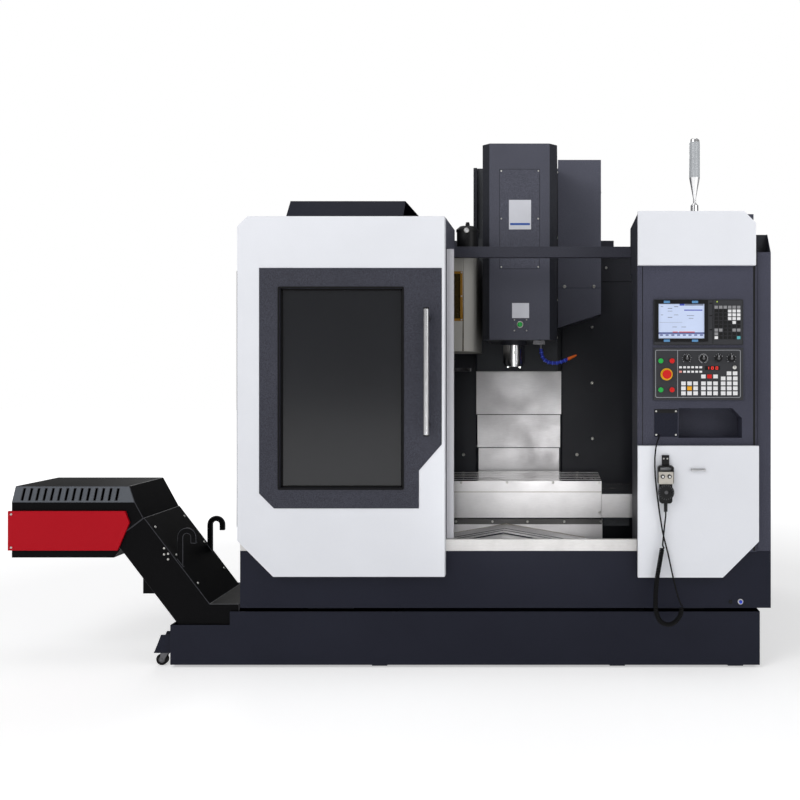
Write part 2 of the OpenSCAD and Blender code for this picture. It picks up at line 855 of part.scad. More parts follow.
// White header over the controls and white panel under them
module white_front_panels() {
    x1 = cabinet_right - 9;
    x2 = cabinet_right + 4;
    nip = sheet * tan(22.5);
    latch_x = unit_x + 163;
    latch_z = lower_top - 112;
    color("whitesmoke") place() {
        tray([[opening_right, header_z0], [x1, header_z0], [x1, header_top - header_cut],
            [x1 - header_cut, header_top], [opening_right, header_top]],
            [[opening_right + sheet, header_z0 + sheet], [x1 - sheet, header_z0 + sheet],
            [x1 - sheet, header_top - header_cut - nip], [x1 - header_cut - nip, header_top - sheet],
            [opening_right + sheet, header_top - sheet]]);
        tray([[opening_right, lower_z0], [x2 - lower_cut, lower_z0], [x2, lower_z0 + lower_cut],
            [x2, lower_top], [opening_right, lower_top]],
            [[opening_right + sheet, lower_z0 + sheet], [x2 - lower_cut - nip, lower_z0 + sheet],
            [x2 - sheet, lower_z0 + lower_cut + nip], [x2 - sheet, lower_top - sheet],
            [opening_right + sheet, lower_top - sheet]]);
        for (x = [latch_x, latch_x + 56]) block(x, x + 8, door_y - 14, door_y + over, latch_z, latch_z + 12);
        rod_x([latch_x, door_y - 12, latch_z + 6], 8, 64);
    }
}

// Display and keypad unit
module display_unit() {
    depth = 12;
    plate = 6;
    x0 = unit_x + 6;
    margin = 16;
    z1 = display_z0 + display_h;
    keys_x = unit_x + bezel_w + 36;
    color("dimgray") place() {
        block(unit_x, unit_x + unit_w, cabinet_y - plate, cabinet_y, display_z0, z1);
        difference() {
            block(x0, x0 + bezel_w, cabinet_y - depth, cabinet_y - plate + over, display_z0 + 15, z1 - 3);
            block(x0 + margin, x0 + bezel_w - margin, cabinet_y - depth - over, cabinet_y - depth + 4,
                display_z0 + 29, z1 - 20);
        }
        for (column = [0 : 5], row = [0 : 8])
            block(keys_x + column * 20, keys_x + column * 20 + key_s - 2, cabinet_y - plate - 3,
                cabinet_y - plate + over, display_z0 + 26 + row * 17, display_z0 + 26 + row * 17 + key_s - 4);
    }
}

// Position of a control on the operator panel
function on_panel(x, z) = [unit_x + x, panel_y0, panel_z0 + z];

// Block of key caps on the operator panel
module key_block(x, z, columns, rows, w, h, pitch_x, pitch_z) {
    for (column = [0 : columns - 1], row = [0 : rows - 1])
        translate(on_panel(x + column * pitch_x, z + row * pitch_z) - [0, 3, 0]) cube([w, 3 + over, h]);
}

// Operator panel with its bores, collars and key caps
module operator_panel() {
    ring = 4;
    collar = 1.5;
    color("dimgray") place() difference() {
        union() {
            block(unit_x, unit_x + unit_w, panel_y0, cabinet_y, panel_z0, panel_z0 + panel_h);
            for (x = button_x, z = button_z)
                rod_y(on_panel(x, z) - [0, collar, 0], button_d + 2 * ring, collar + over);
            rod_y(on_panel(stop_x, stop_z) - [0, collar, 0], stop_d + 14, collar + over);
            key_block(123, 22, 3, 3, key_s + 3, key_s, 27, 22);
            key_block(212, 22, 3, 3, key_s + 3, key_s, 27, 22);
            key_block(212, 97, 3, 1, key_s + 3, key_s, 27, 22);
            key_block(300, 22, 3, 4, key_s + 3, key_s, 27, 22);
            key_block(326, 111, 2, 1, key_s + 3, key_s, 27, 22);
            key_block(114, 122, 6, 2, key_s - 5, key_s - 8, 18, 20);
        }
        for (x = button_x, z = button_z)
            rod_y(on_panel(x, z) - [0, 10, 0], button_d + 2 * fit, panel_t + 20);
        rod_y(on_panel(stop_x, stop_z) - [0, 10, 0], button_d + 2 * fit, panel_t + 20);
        for (x = knob_x) rod_y(on_panel(x, knob_z) - [0, 10, 0], knob_d / 5 + 2 * fit, panel_t + 20);
    }
}

// Push button cap that slides in its bore
module push_button(i) {
    proud = 6;
    color(i % 2 == 0 ? "limegreen" : "red") place()
        rod_y(on_panel(button_x[i % 2], button_z[floor(i / 2)]) - [0, proud, 0], button_d, proud + panel_t - 3);
}

// Emergency stop with its mushroom head
module stop_button() {
    proud = 12;
    head = 9;
    color("red") place() {
        rod_y(on_panel(stop_x, stop_z) - [0, proud, 0], button_d, proud + panel_t - 5);
        rod_y(on_panel(stop_x, stop_z) - [0, proud + head, 0], stop_d, head);
    }
}

// Rotary knob with its pointer and shaft
module rotary_knob(i) {
    color("black") place() {
        difference() {
            rod_y(on_panel(knob_x[i], knob_z) - [0, knob_l + clear, 0], knob_d, knob_l);
            translate(on_panel(knob_x[i], knob_z) - [1.5, knob_l + clear + over, 0])
                cube([3, 2 + over, knob_d]);
        }
        rod_y(on_panel(knob_x[i], knob_z) - [0, clear + over, 0], knob_d / 5, panel_t - 1 + over);
    }
}

// Signal light as one turned profile on the cabinet
module signal_light() {
    r = beacon_d / 2;
    z0 = header_top - 9;
    stub = 64;
    cap = 23;
    lens = 155;
    color("lightgray") place() translate([(opening_right + cabinet_right) / 2, cabinet_y + 80, z0])
        rotate_extrude() polygon([[0, 0], [r * 0.73, 0], [r * 0.73, stub - 12], [r * 0.27, stub],
            [r * 0.27, stub + 20], [r, beacon_h - lens - cap], [r, beacon_h - cap], [r * 0.9, beacon_h - 6],
            [r * 0.6, beacon_h], [0, beacon_h]]);
}

// Plan of the magazine cover, drawn in by one wall
module magazine_plan(wall) {
    round_plan(magazine_x - magazine_w / 2 + wall, magazine_x + magazine_w / 2 - wall,
        magazine_y0 + wall, magazine_y0 + magazine_d - wall, magazine_r - wall);
}

// Left edge and foot of the magazine window
window_x0 = magazine_x + magazine_w / 2 - magazine_r - magazine_window_w;
window_z0 = magazine_z0 + 160;

// Magazine cover hung under the roof, with its guide rods
module magazine_cover() {
    color("gainsboro") place() {
        difference() {
            translate([0, 0, magazine_z0]) linear_extrude(roof_z0 - magazine_z0) magazine_plan(0);
            translate([0, 0, magazine_z0 - over]) linear_extrude(roof_z0 - magazine_z0 + over - sheet)
                magazine_plan(sheet);
            block(window_x0, window_x0 + magazine_window_w, magazine_y0 - over, magazine_y0 + sheet + over,
                window_z0, window_z0 + magazine_window_h);
        }
        magazine_window();
        for (y = guide_rows())
            rod_x([magazine_x - magazine_w / 2 + 1, y, guide_z], guide_d, magazine_w - 2);
    }
}

guide_z = magazine_z0 + 160;
function guide_rows() = [spindle_y - 90, spindle_y + 90];

// Window pane seated behind its opening
module magazine_window() {
    lap = 12;
    block(window_x0 - lap, window_x0 + magazine_window_w + lap, magazine_y0 + sheet - 0.5, magazine_y0 + 2 * sheet,
        window_z0 - lap, window_z0 + magazine_window_h + lap);
}

// Carriage that slides the carousel to the spindle
module magazine_carriage() {
    half = 50;
    pad = 30;
    color("gray") place() difference() {
        union() {
            block(magazine_x - half, magazine_x + half, guide_rows()[0] - pad, guide_rows()[1] + pad,
                guide_z - pad, guide_z + pad);
            rod_z([magazine_x, spindle_y, carousel_top() + clear], pin_d + 40, guide_z - carousel_top() - pad);
            rod_z([magazine_x, spindle_y, carousel_z1 - carousel_t], pin_d, carousel_top() - carousel_z1 + 40);
        }
        for (y = guide_rows()) rod_x([magazine_x - half - over, y, guide_z], guide_d + 2 * fit, 2 * half + 2 * over);
    }
}

function carousel_top() = carousel_z1 + 42;

// Tool carousel with open pockets around its rim
module tool_carousel() {
    color("dimgray") place() translate([magazine_x, spindle_y, 0]) difference() {
        union() {
            rod_z([0, 0, carousel_z1 - carousel_t], 2 * (pocket_r + carousel_rim), carousel_t);
            rod_z([0, 0, carousel_z1 - over], 2 * hub_r, carousel_top() - carousel_z1 + over);
        }
        rod_z([0, 0, carousel_z1 - carousel_t - over], pin_d + 2 * fit, 100);
        for (i = [0 : pockets - 1]) rotate(i * 360 / pockets) {
            rod_z([pocket_r, 0, carousel_z1 - carousel_t - over], pocket_w, carousel_t + 2 * over);
            block(pocket_r, pocket_r + 2 * carousel_rim, -pocket_w / 2, pocket_w / 2,
                carousel_z1 - carousel_t - over, carousel_z1 + over);
        }
    }
}

// Lubricant canister on the roof plate
module oil_canister() {
    r = canister_d / 2;
    color("black") place() translate([-head_cover_w / 2 + head_cover_x - 8 - r, roof_front + 10 + r, roof_top]) {
        rotate_extrude() polygon([[0, 0], [r, 0], [r, canister_h - 26], [r * 1.06, canister_h - 26],
            [r * 1.06, canister_h - 16], [r * 0.75, canister_h], [r * 0.2, canister_h],
            [r * 0.2, canister_h + 14], [0, canister_h + 14]]);
        translate([0, -r - 3, canister_h * 0.5]) rotate([-90, 0, 0]) cylinder(d = 22, h = r);
    }
}

// Point of the incline at distance t from the knee and depth o below its upper side
function slope(t, o) = [knee_x - t * cos(incline) - o * sin(incline), foot_top + t * sin(incline) - o * cos(incline)];

// Point of the incline at height z and depth o
function slope_at(z, o) = slope((z - foot_top + o * cos(incline)) / sin(incline), o);

step_x = -half_w - 13;

// Bent duct of the conveyor with its open trough, drive cover and lifting hooks
module conveyor_housing() {
    w = duct_wall;
    lump = slope_at(375, duct_t);
    color("black") place() {
        difference() {
            union() {
                side_shape(duct_outline(), conveyor_y0, conveyor_y1);
                block(lump[0] - 34, lump[0] + 70, conveyor_y0 + 30, conveyor_y1 - 30, lump[1] - 50, lump[1] + 40);
            }
            side_shape([[trough_right - w, foot_floor + w], [trough_right - w, trough_top + over],
                [step_x + over, trough_top + over], [step_x + over, foot_top - w], slope_at(foot_top - w, w),
                slope(incline_l + over, w), slope(incline_l + over, duct_t - w),
                slope_at(foot_floor + w, duct_t - w)], conveyor_y0 + w, conveyor_y1 - w);
        }
        for (y = [conveyor_y0 + 12, conveyor_y1 - 24]) lifting_hook(y);
    }
}

function duct_outline() = [[trough_right, foot_floor], [trough_right, trough_top], [step_x, trough_top],
    [step_x, foot_top], [knee_x, foot_top], slope(incline_l, 0), slope(incline_l, duct_t),
    slope_at(foot_floor, duct_t)];

// Flat hook cut from plate, standing on the incline
module lifting_hook(y) {
    plate = 12;
    bar = 26;
    turn = 30;
    foot = slope(250, 0);
    top = foot[1] + 100;
    block(foot[0], foot[0] + bar, y, y + plate, foot[1] - 36, top);
    difference() {
        rod_y([foot[0] + bar / 2 + turn, y, top], 2 * turn + bar, plate);
        rod_y([foot[0] + bar / 2 + turn, y - over, top], 2 * turn - bar, plate + 2 * over);
        block(foot[0] - over, foot[0] + 4 * turn, y - over, y + plate + over, top - 3 * turn, top);
    }
    block(foot[0] + 2 * turn, foot[0] + 2 * turn + bar, y, y + plate, top - 28, top);
}

// Tip of the discharge hood beside the incline
function hood_tip() = slope(incline_l, 0) - [0, 8];

// Side outline of the discharge hood, drawn in by one wall
function discharge_outline(w) = [[discharge_left + w, discharge_z0 + w],
    [hood_tip()[0] - 136 - w / 2, discharge_z0 + w], [hood_tip()[0] - 1.25 * w, hood_tip()[1]],
    [hood_tip()[0] - 80 - 0.6 * w, discharge_top - w], [discharge_left + w, discharge_top - w]];

// End outline of the discharge hood with its slanted vent strip
function discharge_end(w) = [[conveyor_y0 + w, 0], [conveyor_y0 + w, discharge_top - vent_h - w * 0.2],
    [conveyor_y0 + 31 + w * 0.6, discharge_top - w], [conveyor_y1 - w, discharge_top - w], [conveyor_y1 - w, 0]];

// Sheet hood over the conveyor's head, open below at its far end
module discharge_hood() {
    w = duct_wall;
    x1 = hood_tip()[0];
    pitch = (x1 - 80 - discharge_left - 60) / vents;
    color("black") place() difference() {
        intersection() {
            side_shape(discharge_outline(0), conveyor_y0, conveyor_y1);
            end_shape(discharge_end(0), discharge_left - over, x1 + over);
        }
        intersection() {
            side_shape(discharge_outline(w), conveyor_y0, conveyor_y1);
            end_shape(discharge_end(w), discharge_left - over, x1 + over);
        }
        side_shape(duct_outline(), conveyor_y0 - over, conveyor_y1 + over);
        block(discharge_left + w, discharge_left + mouth_l, conveyor_y0 + w, conveyor_y1 - w, discharge_z0 - over,
            discharge_z0 + w + over);
        for (i = [0 : vents - 1])
            block(discharge_left + 40 + i * pitch, discharge_left + 40 + i * pitch + vent_w, conveyor_y0 - over,
                conveyor_y0 + 60, discharge_top - vent_h + 8, discharge_top - 10);
    }
}

// Red panel on the hood's front
module discharge_panel() {
    x1 = hood_tip()[0] - 62;
    z0 = discharge_z0 + 34;
    color("red") place()
        side_shape([[discharge_left - 11, z0], [x1 - 54, z0], [x1, z0 + red_h * 0.7], [x1 - 20, z0 + red_h],
            [discharge_left - 11, z0 + red_h]], conveyor_y0 - red_t, conveyor_y0);
}

// Loop of the chip belt, drawn in by one thickness
module belt_loop(h) {
    mid = duct_t / 2;
    polygon([[belt_tail()[0], belt_tail()[1] + h], slope_at(belt_tail()[1] + h, mid - h),
        slope_at(belt_head()[1] + h, mid - h), [belt_head()[0], belt_head()[1] + h],
        [belt_head()[0], belt_head()[1] - h], slope_at(belt_head()[1] - h, mid + h),
        slope_at(belt_tail()[1] - h, mid + h), [belt_tail()[0], belt_tail()[1] - h]]);
    for (end = [belt_tail(), belt_head()]) translate(end) circle(h);
}

function belt_tail() = [trough_right - 80, foot_floor + duct_wall + 10 + belt_half];
function belt_head() = [discharge_left + 130, (discharge_z0 + discharge_top) / 2 + 25];

// Chip belt with its sprocket shafts
module conveyor_belt() {
    inset = 20;
    color("dimgray") place() {
        translate([0, conveyor_y1 - inset, 0]) rotate([90, 0, 0]) linear_extrude(conveyor_w - 2 * inset)
            difference() {
                belt_loop(belt_half);
                belt_loop(belt_half - belt_t);
            }
        for (end = [belt_tail(), belt_head()]) {
            rod_y([end[0], conveyor_y0 + duct_wall, end[1]], 30, conveyor_w - 2 * duct_wall);
            for (y = [conveyor_y0 + 40, conveyor_y1 - 60])
                rod_y([end[0], y, end[1]], 2 * belt_half - belt_t, 20);
        }
    }
}

// White door skin with the opening for the fascia
module door_panel() {
    runner_y = sill_d - 10;
    color("whitesmoke") place() {
        difference() {
            side_shape([[door_left + door_low_cut, door_z0], [door_right, door_z0], [door_right, door_top],
                [door_left + door_top_cut, door_top], [door_left, door_top - door_top_cut],
                [door_left, door_z0 + door_low_cut]], door_y, door_back);
            side_shape(fascia_outline(), door_y - over, door_back + over);
        }
        for (x = [door_left + 90, door_right - 90])
            block(x - runner_w / 2, x + runner_w / 2, door_back - over, runner_y, sill_top + clear,
                sill_top + clear + runner_h);
    }
}

function fascia_outline() = [[fascia_left, fascia_top], [fascia_right, fascia_top],
    [fascia_right, fascia_z0 + door_foot_h + 116], [fascia_right - door_foot_w, fascia_z0 + door_foot_h],
    [fascia_right - door_foot_w, fascia_z0], [fascia_left + 66, fascia_z0], [fascia_left, fascia_z0 + 66]];

// Dark fascia with the rebated window opening
module door_fascia() {
    color("darkslategray") place() {
        difference() {
            side_shape(fascia_outline(), door_y - fascia_proud, door_back);
            block(pane_x0, pane_x1, door_y - fascia_proud - over, glass_y + over, pane_z0, pane_z1);
            block(pane_x0 - window_lip, pane_x1 + window_lip, glass_y, door_back + over, pane_z0 - window_lip,
                pane_z1 + window_lip);
        }
        door_roof();
    }
}

// Safety glass in the fascia's rebate
module door_glass() {
    color("black", 0.6) place() block(pane_x0 - window_lip, pane_x1 + window_lip, glass_y, glass_y + glass_t,
        pane_z0 - window_lip, pane_z1 + window_lip);
}

// Tubular door handle on two stand-offs
module door_handle() {
    stand = 16;
    color("silver") place() {
        rod_z([handle_x, handle_y, handle_z - handle_l / 2], handle_d, handle_l);
        for (z = [handle_z - handle_l / 2 + 45, handle_z + handle_l / 2 - 45])
            rod_y([handle_x, handle_y, z], stand, handle_reach);
    }
}

// Dark roof box that travels with the door
module door_roof() {
    x0 = door_left + door_top_cut + 4;
    z0 = door_top - door_roof_h;
    y1 = door_back + door_roof_d;
    guide = 60;
    difference() {
        block(x0, door_right, door_back, y1, z0, door_top);
        block(x0 + sheet, door_right - sheet, door_back - over, y1 - sheet, z0 - over, door_top - sheet);
        block(x0 + sheet, door_right - sheet, y1 - sheet - over, y1 + over, z0 - over, z0 + 60);
    }
    for (x = [x0 + guide, door_right - 2 * guide])
        block(x, x + guide, y1 - over, beam_y0 - clear, roof_top - 20, roof_top + 20);
}

// Head casting with its Z carriages, spindle bore and motor
module head_casting() {
    back_w = column_w - 40;
    lip = 25;
    arm_y0 = head_cover_y + 50;
    arm_y1 = splash_y - 220;
    cover_in = head_cover_w / 2 - sheet;
    color("dimgray") place() difference() {
        union() {
            block(-head_w / 2, head_w / 2, arm_y0, arm_y1 + over, head_z0, head_z0 + head_h);
            block(-back_w / 2, back_w / 2, arm_y1, head_back, head_low, head_z0 + 2 * head_h);
            both_sides() for (s = [-1, 1])
                translate([z_rail_x + s * (rail_w / 2 + clear + lip / 2) - lip / 2, head_back - over, head_low])
                    cube([lip, z_rail_t - 4, head_h]);
            block(-motor_w / 2, motor_w / 2, spindle_y - motor_w / 2, spindle_y + motor_w / 2,
                head_z0 + head_h - over, head_z0 + head_h + motor_h);
            block(head_cover_x - cover_in, head_cover_x + cover_in, spindle_y + 120, spindle_y + 200,
                head_z0 + 60, head_z0 + 140);
        }
        rod_z([0, spindle_y, head_z0 - over], cartridge_d, head_h * 0.6);
    }
}

// Plan of the head cover with cut front corners, drawn in by one wall
function head_plan(w) = let (x = head_cover_w / 2 - w, y0 = head_cover_y + w, y1 = head_cover_y + head_cover_d,
    c = head_cut - w * 0.6) [[-x, y1 + sign(w)], [-x, y0 + c], [-x + c, y0], [x - c, y0], [x, y0 + c], [x, y1 + sign(w)]];

// Sheet cover of the spindle head, open below and behind
module head_cover() {
    color("darkslategray") place() translate([head_cover_x, 0, head_z0]) difference() {
        linear_extrude(head_cover_h) polygon(head_plan(0));
        translate([0, 0, -over]) linear_extrude(head_cover_h + over - sheet) polygon(head_plan(sheet));
    }
}

// Polished spindle cartridge with its flange
module spindle_cartridge() {
    color("silver") place() translate([0, spindle_y, 0]) difference() {
        union() {
            rod_z([0, 0, nose_z + 14], cartridge_d, cartridge_l - 14 + head_h * 0.6 - over);
            rod_z([0, 0, head_z0 - flange_t], flange_d, flange_t);
        }
        rod_z([0, 0, nose_z], shaft_d + 2 * fit, cartridge_l + head_h);
    }
}

// Spindle shaft with its tool taper and drive keys
module spindle() {
    nose_h = 14 - clear;
    key_h = 8;
    color("gray") place() translate([0, spindle_y, nose_z]) {
        difference() {
            union() {
                cylinder(d = shaft_d, h = cartridge_l + head_h * 0.5);
                cylinder(d = cartridge_d - 16, h = nose_h);
            }
            translate([0, 0, -0.01]) cylinder(d1 = taper_d, d2 = taper_d - taper_l * 7 / 24, h = taper_l);
            cylinder(d = taper_d / 2.5, h = cartridge_l + head_h);
        }
        for (s = [0, 180]) rotate(s)
            translate([taper_d / 2 + 3, -key_w / 2, -key_h + over]) cube([12, key_w, key_h]);
    }
}

// Tapered hose link from point a, which passes point b a little
module link(a, b, d1, d2) {
    v = b - a;
    translate(a) rotate([0, acos(v[2] / norm(v)), atan2(v[1], v[0])]) cylinder(d1 = d1, d2 = d2, h = norm(v) * 1.15);
}

// Segmented coolant hose with its tap and nozzle
module coolant_hose() {
    y = spindle_y - 70;
    start = [145, y, head_z0];
    route = [[145, y, head_z0 - 40], [147, y, head_z0 - 62], [153, y, head_z0 - 84], [165, y, head_z0 - 102],
        [184, y, head_z0 - 113], [206, y, head_z0 - 117], [228, y, head_z0 - 117], [250, y, head_z0 - 112],
        [270, y, head_z0 - 104], [288, y, head_z0 - 96]];
    color("royalblue") place() {
        block(105, 165, y - 20, y + 20, head_z0 - 20, head_z0);
        link(start, route[0], hose_d * 0.7, hose_d * 0.7);
        for (i = [0 : len(route) - 2]) link(route[i], route[i + 1], hose_d, hose_d * 0.7);
        translate(route[9]) rotate([0, 65, 0]) cylinder(d1 = hose_d, d2 = hose_d * 0.4, h = 48);
    }
}

// Telescopic Z cover number i, from the head downwards
module z_cover(i, back) {
    w = z_cover_w / 2 - i * cover_step;
    y = z_cover_y + i * cover_step;
    z = head_low - z_cover_l - i * z_cover_rise;
    lap = i < 3 ? cover_step - slip : cover_t;
    difference() {
        block(-w, w, y, back, z, z + z_cover_l);
        block(-w + cover_t, w - cover_t, y + cover_t, back + over, z + hem, z + z_cover_l + over);
        block(-w + lap, w - lap, y + lap, back + over, z - over, z + hem + over);
    }
}

module z_cover_upper() {
    color("silver") place() z_cover(0, head_back);
}

module z_cover_middle() {
    color("silver") place() z_cover(1, head_back);
}

module z_cover_lower() {
    color("silver") place() z_cover(2, head_back);
}

// Saddle casting with its Y carriages and the X rails
module saddle() {
    shoe = 50;
    y1 = saddle_y0 + saddle_l;
    color("dimgray") place() difference() {
        union() {
            block(-saddle_w / 2, saddle_w / 2, saddle_y0, y1, saddle_z0, saddle_z1);
            block(-wing_w / 2, wing_w / 2, saddle_y0 + 25, y1 - 25, saddle_z1 - wing_t, saddle_z1);
            both_sides() block(y_rail_x - shoe, y_rail_x + shoe, saddle_y0, y1, bed_top + 8, saddle_z0 + over);
            for (s = [-1, 1])
                block(-wing_w / 2, wing_w / 2, saddle_yc + s * x_rail_pitch / 2 - rail_w / 2,
                    saddle_yc + s * x_rail_pitch / 2 + rail_w / 2, saddle_z1 - over, saddle_z1 + x_rail_h);
        }
        both_sides() block(y_rail_x - rail_w / 2 - clear, y_rail_x + rail_w / 2 + clear, saddle_y0 - over, y1 + over,
            bed_top, bed_top + rail_h + clear);
    }
}

// Rear Y cover with the front plate that fixes it to the saddle
module y_cover_rear() {
    y0 = saddle_y0 - cover_t - y_cover_l;
    color("silver") place() {
        block(-saddle_w / 2, saddle_w / 2, saddle_y0 - cover_t, saddle_y0, saddle_z0, saddle_z1);
        roof_sheet(y_ridge, y_cover_half, cover_t, y0, saddle_y0);
        roof_sheet(y_ridge, y_cover_half, cover_step - slip, y0, y0 + hem);
    }
}

// Middle Y cover, half way between the fixed one and the saddle
module y_cover_middle() {
    y0 = (y_front + saddle_y0 - cover_t - y_cover_l) / 2;
    color("silver") place() {
        roof_sheet(y_ridge - cover_step, y_cover_half, cover_t, y0, y0 + y_cover_l);
        roof_sheet(y_ridge - cover_step, y_cover_half, cover_step - slip, y0, y0 + hem);
    }
}

// Inverted channel that covers the X rails
module x_channel(x0, x1, inset, z1) {
    y0 = table_y0 + inset;
    y1 = table_y1 - inset;
    difference() {
        block(x0, x1, y0, y1, table_z0 - skirt_h, z1);
        block(x0 - over, x1 + over, y0 + cover_t, y1 - cover_t, table_z0 - skirt_h - over, z1 - cover_t);
    }
}

x_cover_z = table_z0 - skirt_h + x_cover_h;
x_inset = cover_t + 4.5;
x_tuck = 20;

// T-slotted table with its X carriages, skirts and outer X covers
module table() {
    x0 = table_x - table_l / 2;
    x1 = table_x + table_l / 2;
    shoe = 50;
    color("lightgray") place() {
        difference() {
            block(x0, x1, table_y0, table_y1, table_z0, table_top);
            for (i = [-2 : 2]) {
                y = saddle_yc + i * slot_pitch;
                block(x0 - over, x1 + over, y - slot_w / 2, y + slot_w / 2, table_top - slot_neck, table_top + over);
                block(x0 - over, x1 + over, y - slot_head_w / 2, y + slot_head_w / 2,
                    table_top - slot_neck - slot_head_h, table_top - slot_neck + over);
            }
        }
        for (s = [-1, 1], x = [table_x - 150, table_x + 150]) difference() {
            y = saddle_yc + s * x_rail_pitch / 2;
            block(x - shoe, x + shoe, y - shoe, y + shoe, saddle_z1 + 6, table_z0 + over);
            block(x - shoe - over, x + shoe + over, y - rail_w / 2 - clear, y + rail_w / 2 + clear,
                saddle_z1, saddle_z1 + x_rail_h + clear);
        }
        for (y = [table_y0, table_y1 - cover_t])
            block(x0, x1, y, y + cover_t, table_z0 - skirt_h, table_z0 + over);
        for (s = [-1, 1]) {
            edge = table_x + s * (table_l / 2 - x_tuck);
            x_channel(min(edge, edge + s * (x_cover_l + x_tuck)), max(edge, edge + s * (x_cover_l + x_tuck)),
                x_inset, x_cover_z);
            block(edge - cover_t, edge + cover_t, table_y0 + x_inset, table_y1 - x_inset, x_cover_z - cover_t,
                table_z0 + over);
        }
    }
}

// Inner X covers on both sides, which trail the table
module x_covers_inner() {
    inset = x_inset + cover_t + slip;
    color("silver") place() for (s = [-1, 1]) {
        edge = table_x + s * (table_l / 2 - 4);
        x_channel(min(edge, edge + s * x_cover_l), max(edge, edge + s * x_cover_l), inset,
            x_cover_z - cover_t - slip);
    }
}

// Swivel fork of a caster
module caster_fork(y) {
    cheek = 3;
    plate = 4;
    color("gray") place() {
        block(caster_x - 18, caster_x + 18, y - wheel_w / 2 - 4, y + wheel_w / 2 + 4, bracket_z - clear - plate,
            bracket_z - clear);
        for (s = [y - wheel_w / 2 - 4, y + wheel_w / 2 + 4 - cheek])
            side_shape([[caster_x - trail - 8, wheel_d / 2 - 8], [caster_x - trail + 8, wheel_d / 2 - 8],
                [caster_x + 18, bracket_z - plate], [caster_x - 18, bracket_z - plate]], s, s + cheek);
        rod_y([caster_x - trail, y - wheel_w / 2 - 6, wheel_d / 2], 8, wheel_w + 12);
    }
}

module caster_wheel(y) {
    color("black") place() difference() {
        rod_y([caster_x - trail, y - wheel_w / 2, wheel_d / 2], wheel_d, wheel_w);
        rod_y([caster_x - trail, y - wheel_w / 2 - over, wheel_d / 2], 8 + 2 * fit, wheel_w + 2 * over);
    }
}

// Hand pendant with its hanger, handwheel boss and strain relief
module pendant_body() {
    r = 12;
    tab = 45;
    color("dimgray") place() {
        difference() {
            union() {
                translate([0, door_y, 0]) rotate([90, 0, 0]) linear_extrude(pendant_t) {
                    round_plan(pendant_x - pendant_w * 0.4, pendant_x + pendant_w * 0.4, pendant_z0,
                        pendant_z0 + pendant_h, r);
                    round_plan(pendant_x - pendant_w / 2, pendant_x + pendant_w / 2, pendant_z0 + pendant_h / 2,
                        pendant_z0 + pendant_h, r);
                }
                block(pendant_x - 16, pendant_x + 16, door_y - 14, door_y, pendant_z0 + pendant_h - over,
                    pendant_z0 + pendant_h + tab);
            }
            rod_y([pendant_x, pendant_y - over, handwheel_z], 10 + 2 * fit, 14 + over);
            block(pendant_x - pendant_w * 0.36, pendant_x + pendant_w * 0.36, pendant_y - over, door_y + over,
                pendant_z0 + pendant_h - 23, pendant_z0 + pendant_h - 8);
        }
        rod_z([pendant_x, door_y - pendant_t / 2, pendant_z0 - relief_l], 16, relief_l + over);
        for (x = [pendant_x - 15, pendant_x + 15])
            rod_y([x, pendant_y - 8, pendant_z0 + pendant_h - 47], 18, 8 + over);
    }
}

// Handwheel with its spinner knob
module pendant_wheel() {
    t = 12;
    color("black") place() {
        rod_y([pendant_x, pendant_y - clear - t, handwheel_z], handwheel_d, t);
        rod_y([pendant_x, pendant_y - clear - over, handwheel_z], 10, 12 + over);
        rod_y([pendant_x + handwheel_d * 0.32, pendant_y - clear - t - 10, handwheel_z], 12, 10 + over);
    }
}

function unit(v) = v / norm(v);

// Catmull-Rom point between p1 and p2
function spline(p0, p1, p2, p3, t) = 0.5 * (2 * p1 + (p2 - p0) * t + (2 * p0 - 5 * p1 + 4 * p2 - p3) * t * t
    + (3 * p1 - p0 - 3 * p2 + p3) * t * t * t);

function smooth(p, n) = [for (i = [0 : len(p) - 2], k = [0 : n - 1])
    spline(p[max(i - 1, 0)], p[i], p[i + 1], p[min(i + 2, len(p) - 1)], k / n), p[len(p) - 1]];

// Tube swept along points, with the given directions at its ends and a reference across it
module tube(p, d, first, last, across) {
    sides = 10;
    n = len(p);
    t = [for (i = [0 : n - 1]) i == 0 ? unit(first) : i == n - 1 ? unit(last) : unit(p[i + 1] - p[i - 1])];
    rings = [for (i = [0 : n - 1]) let (u = unit(cross(t[i], across)), v = cross(t[i], u))
        for (k = [0 : sides - 1]) p[i] + d / 2 * (cos(k * 360 / sides) * u + sin(k * 360 / sides) * v)];
    walls = [for (i = [0 : n - 2], k = [0 : sides - 1], half = [0, 1]) let (a = i * sides + k,
        b = i * sides + (k + 1) % sides)
        half == 0 ? [a, a + sides, b] : [b, a + sides, b + sides]];
    ends = [[for (k = [0 : sides - 1]) k], [for (k = [sides - 1 : -1 : 0]) (n - 1) * sides + k]];
    polyhedron(rings, concat(walls, ends));
}

// Straight stretches of the cord from the cabinet and up to the pendant
module pendant_cord() {
    color("black") place() {
        tube(smooth(cord_start, 4), cord_d, [0, -1, 0], cord_join, [1, 0, 0]);
        tube(smooth(cord_end, 3), cord_d, [0, 0, 1], [0, 0, 1], [1, 0, 0]);
    }
}

// Curly stretch of the cord as its outer tube
module pendant_cord_curl() {
    color("black") place() tube(smooth(cord_curl, 2), curl_d, cord_join, [0, 0, 1], [0, 1, 0]);
}

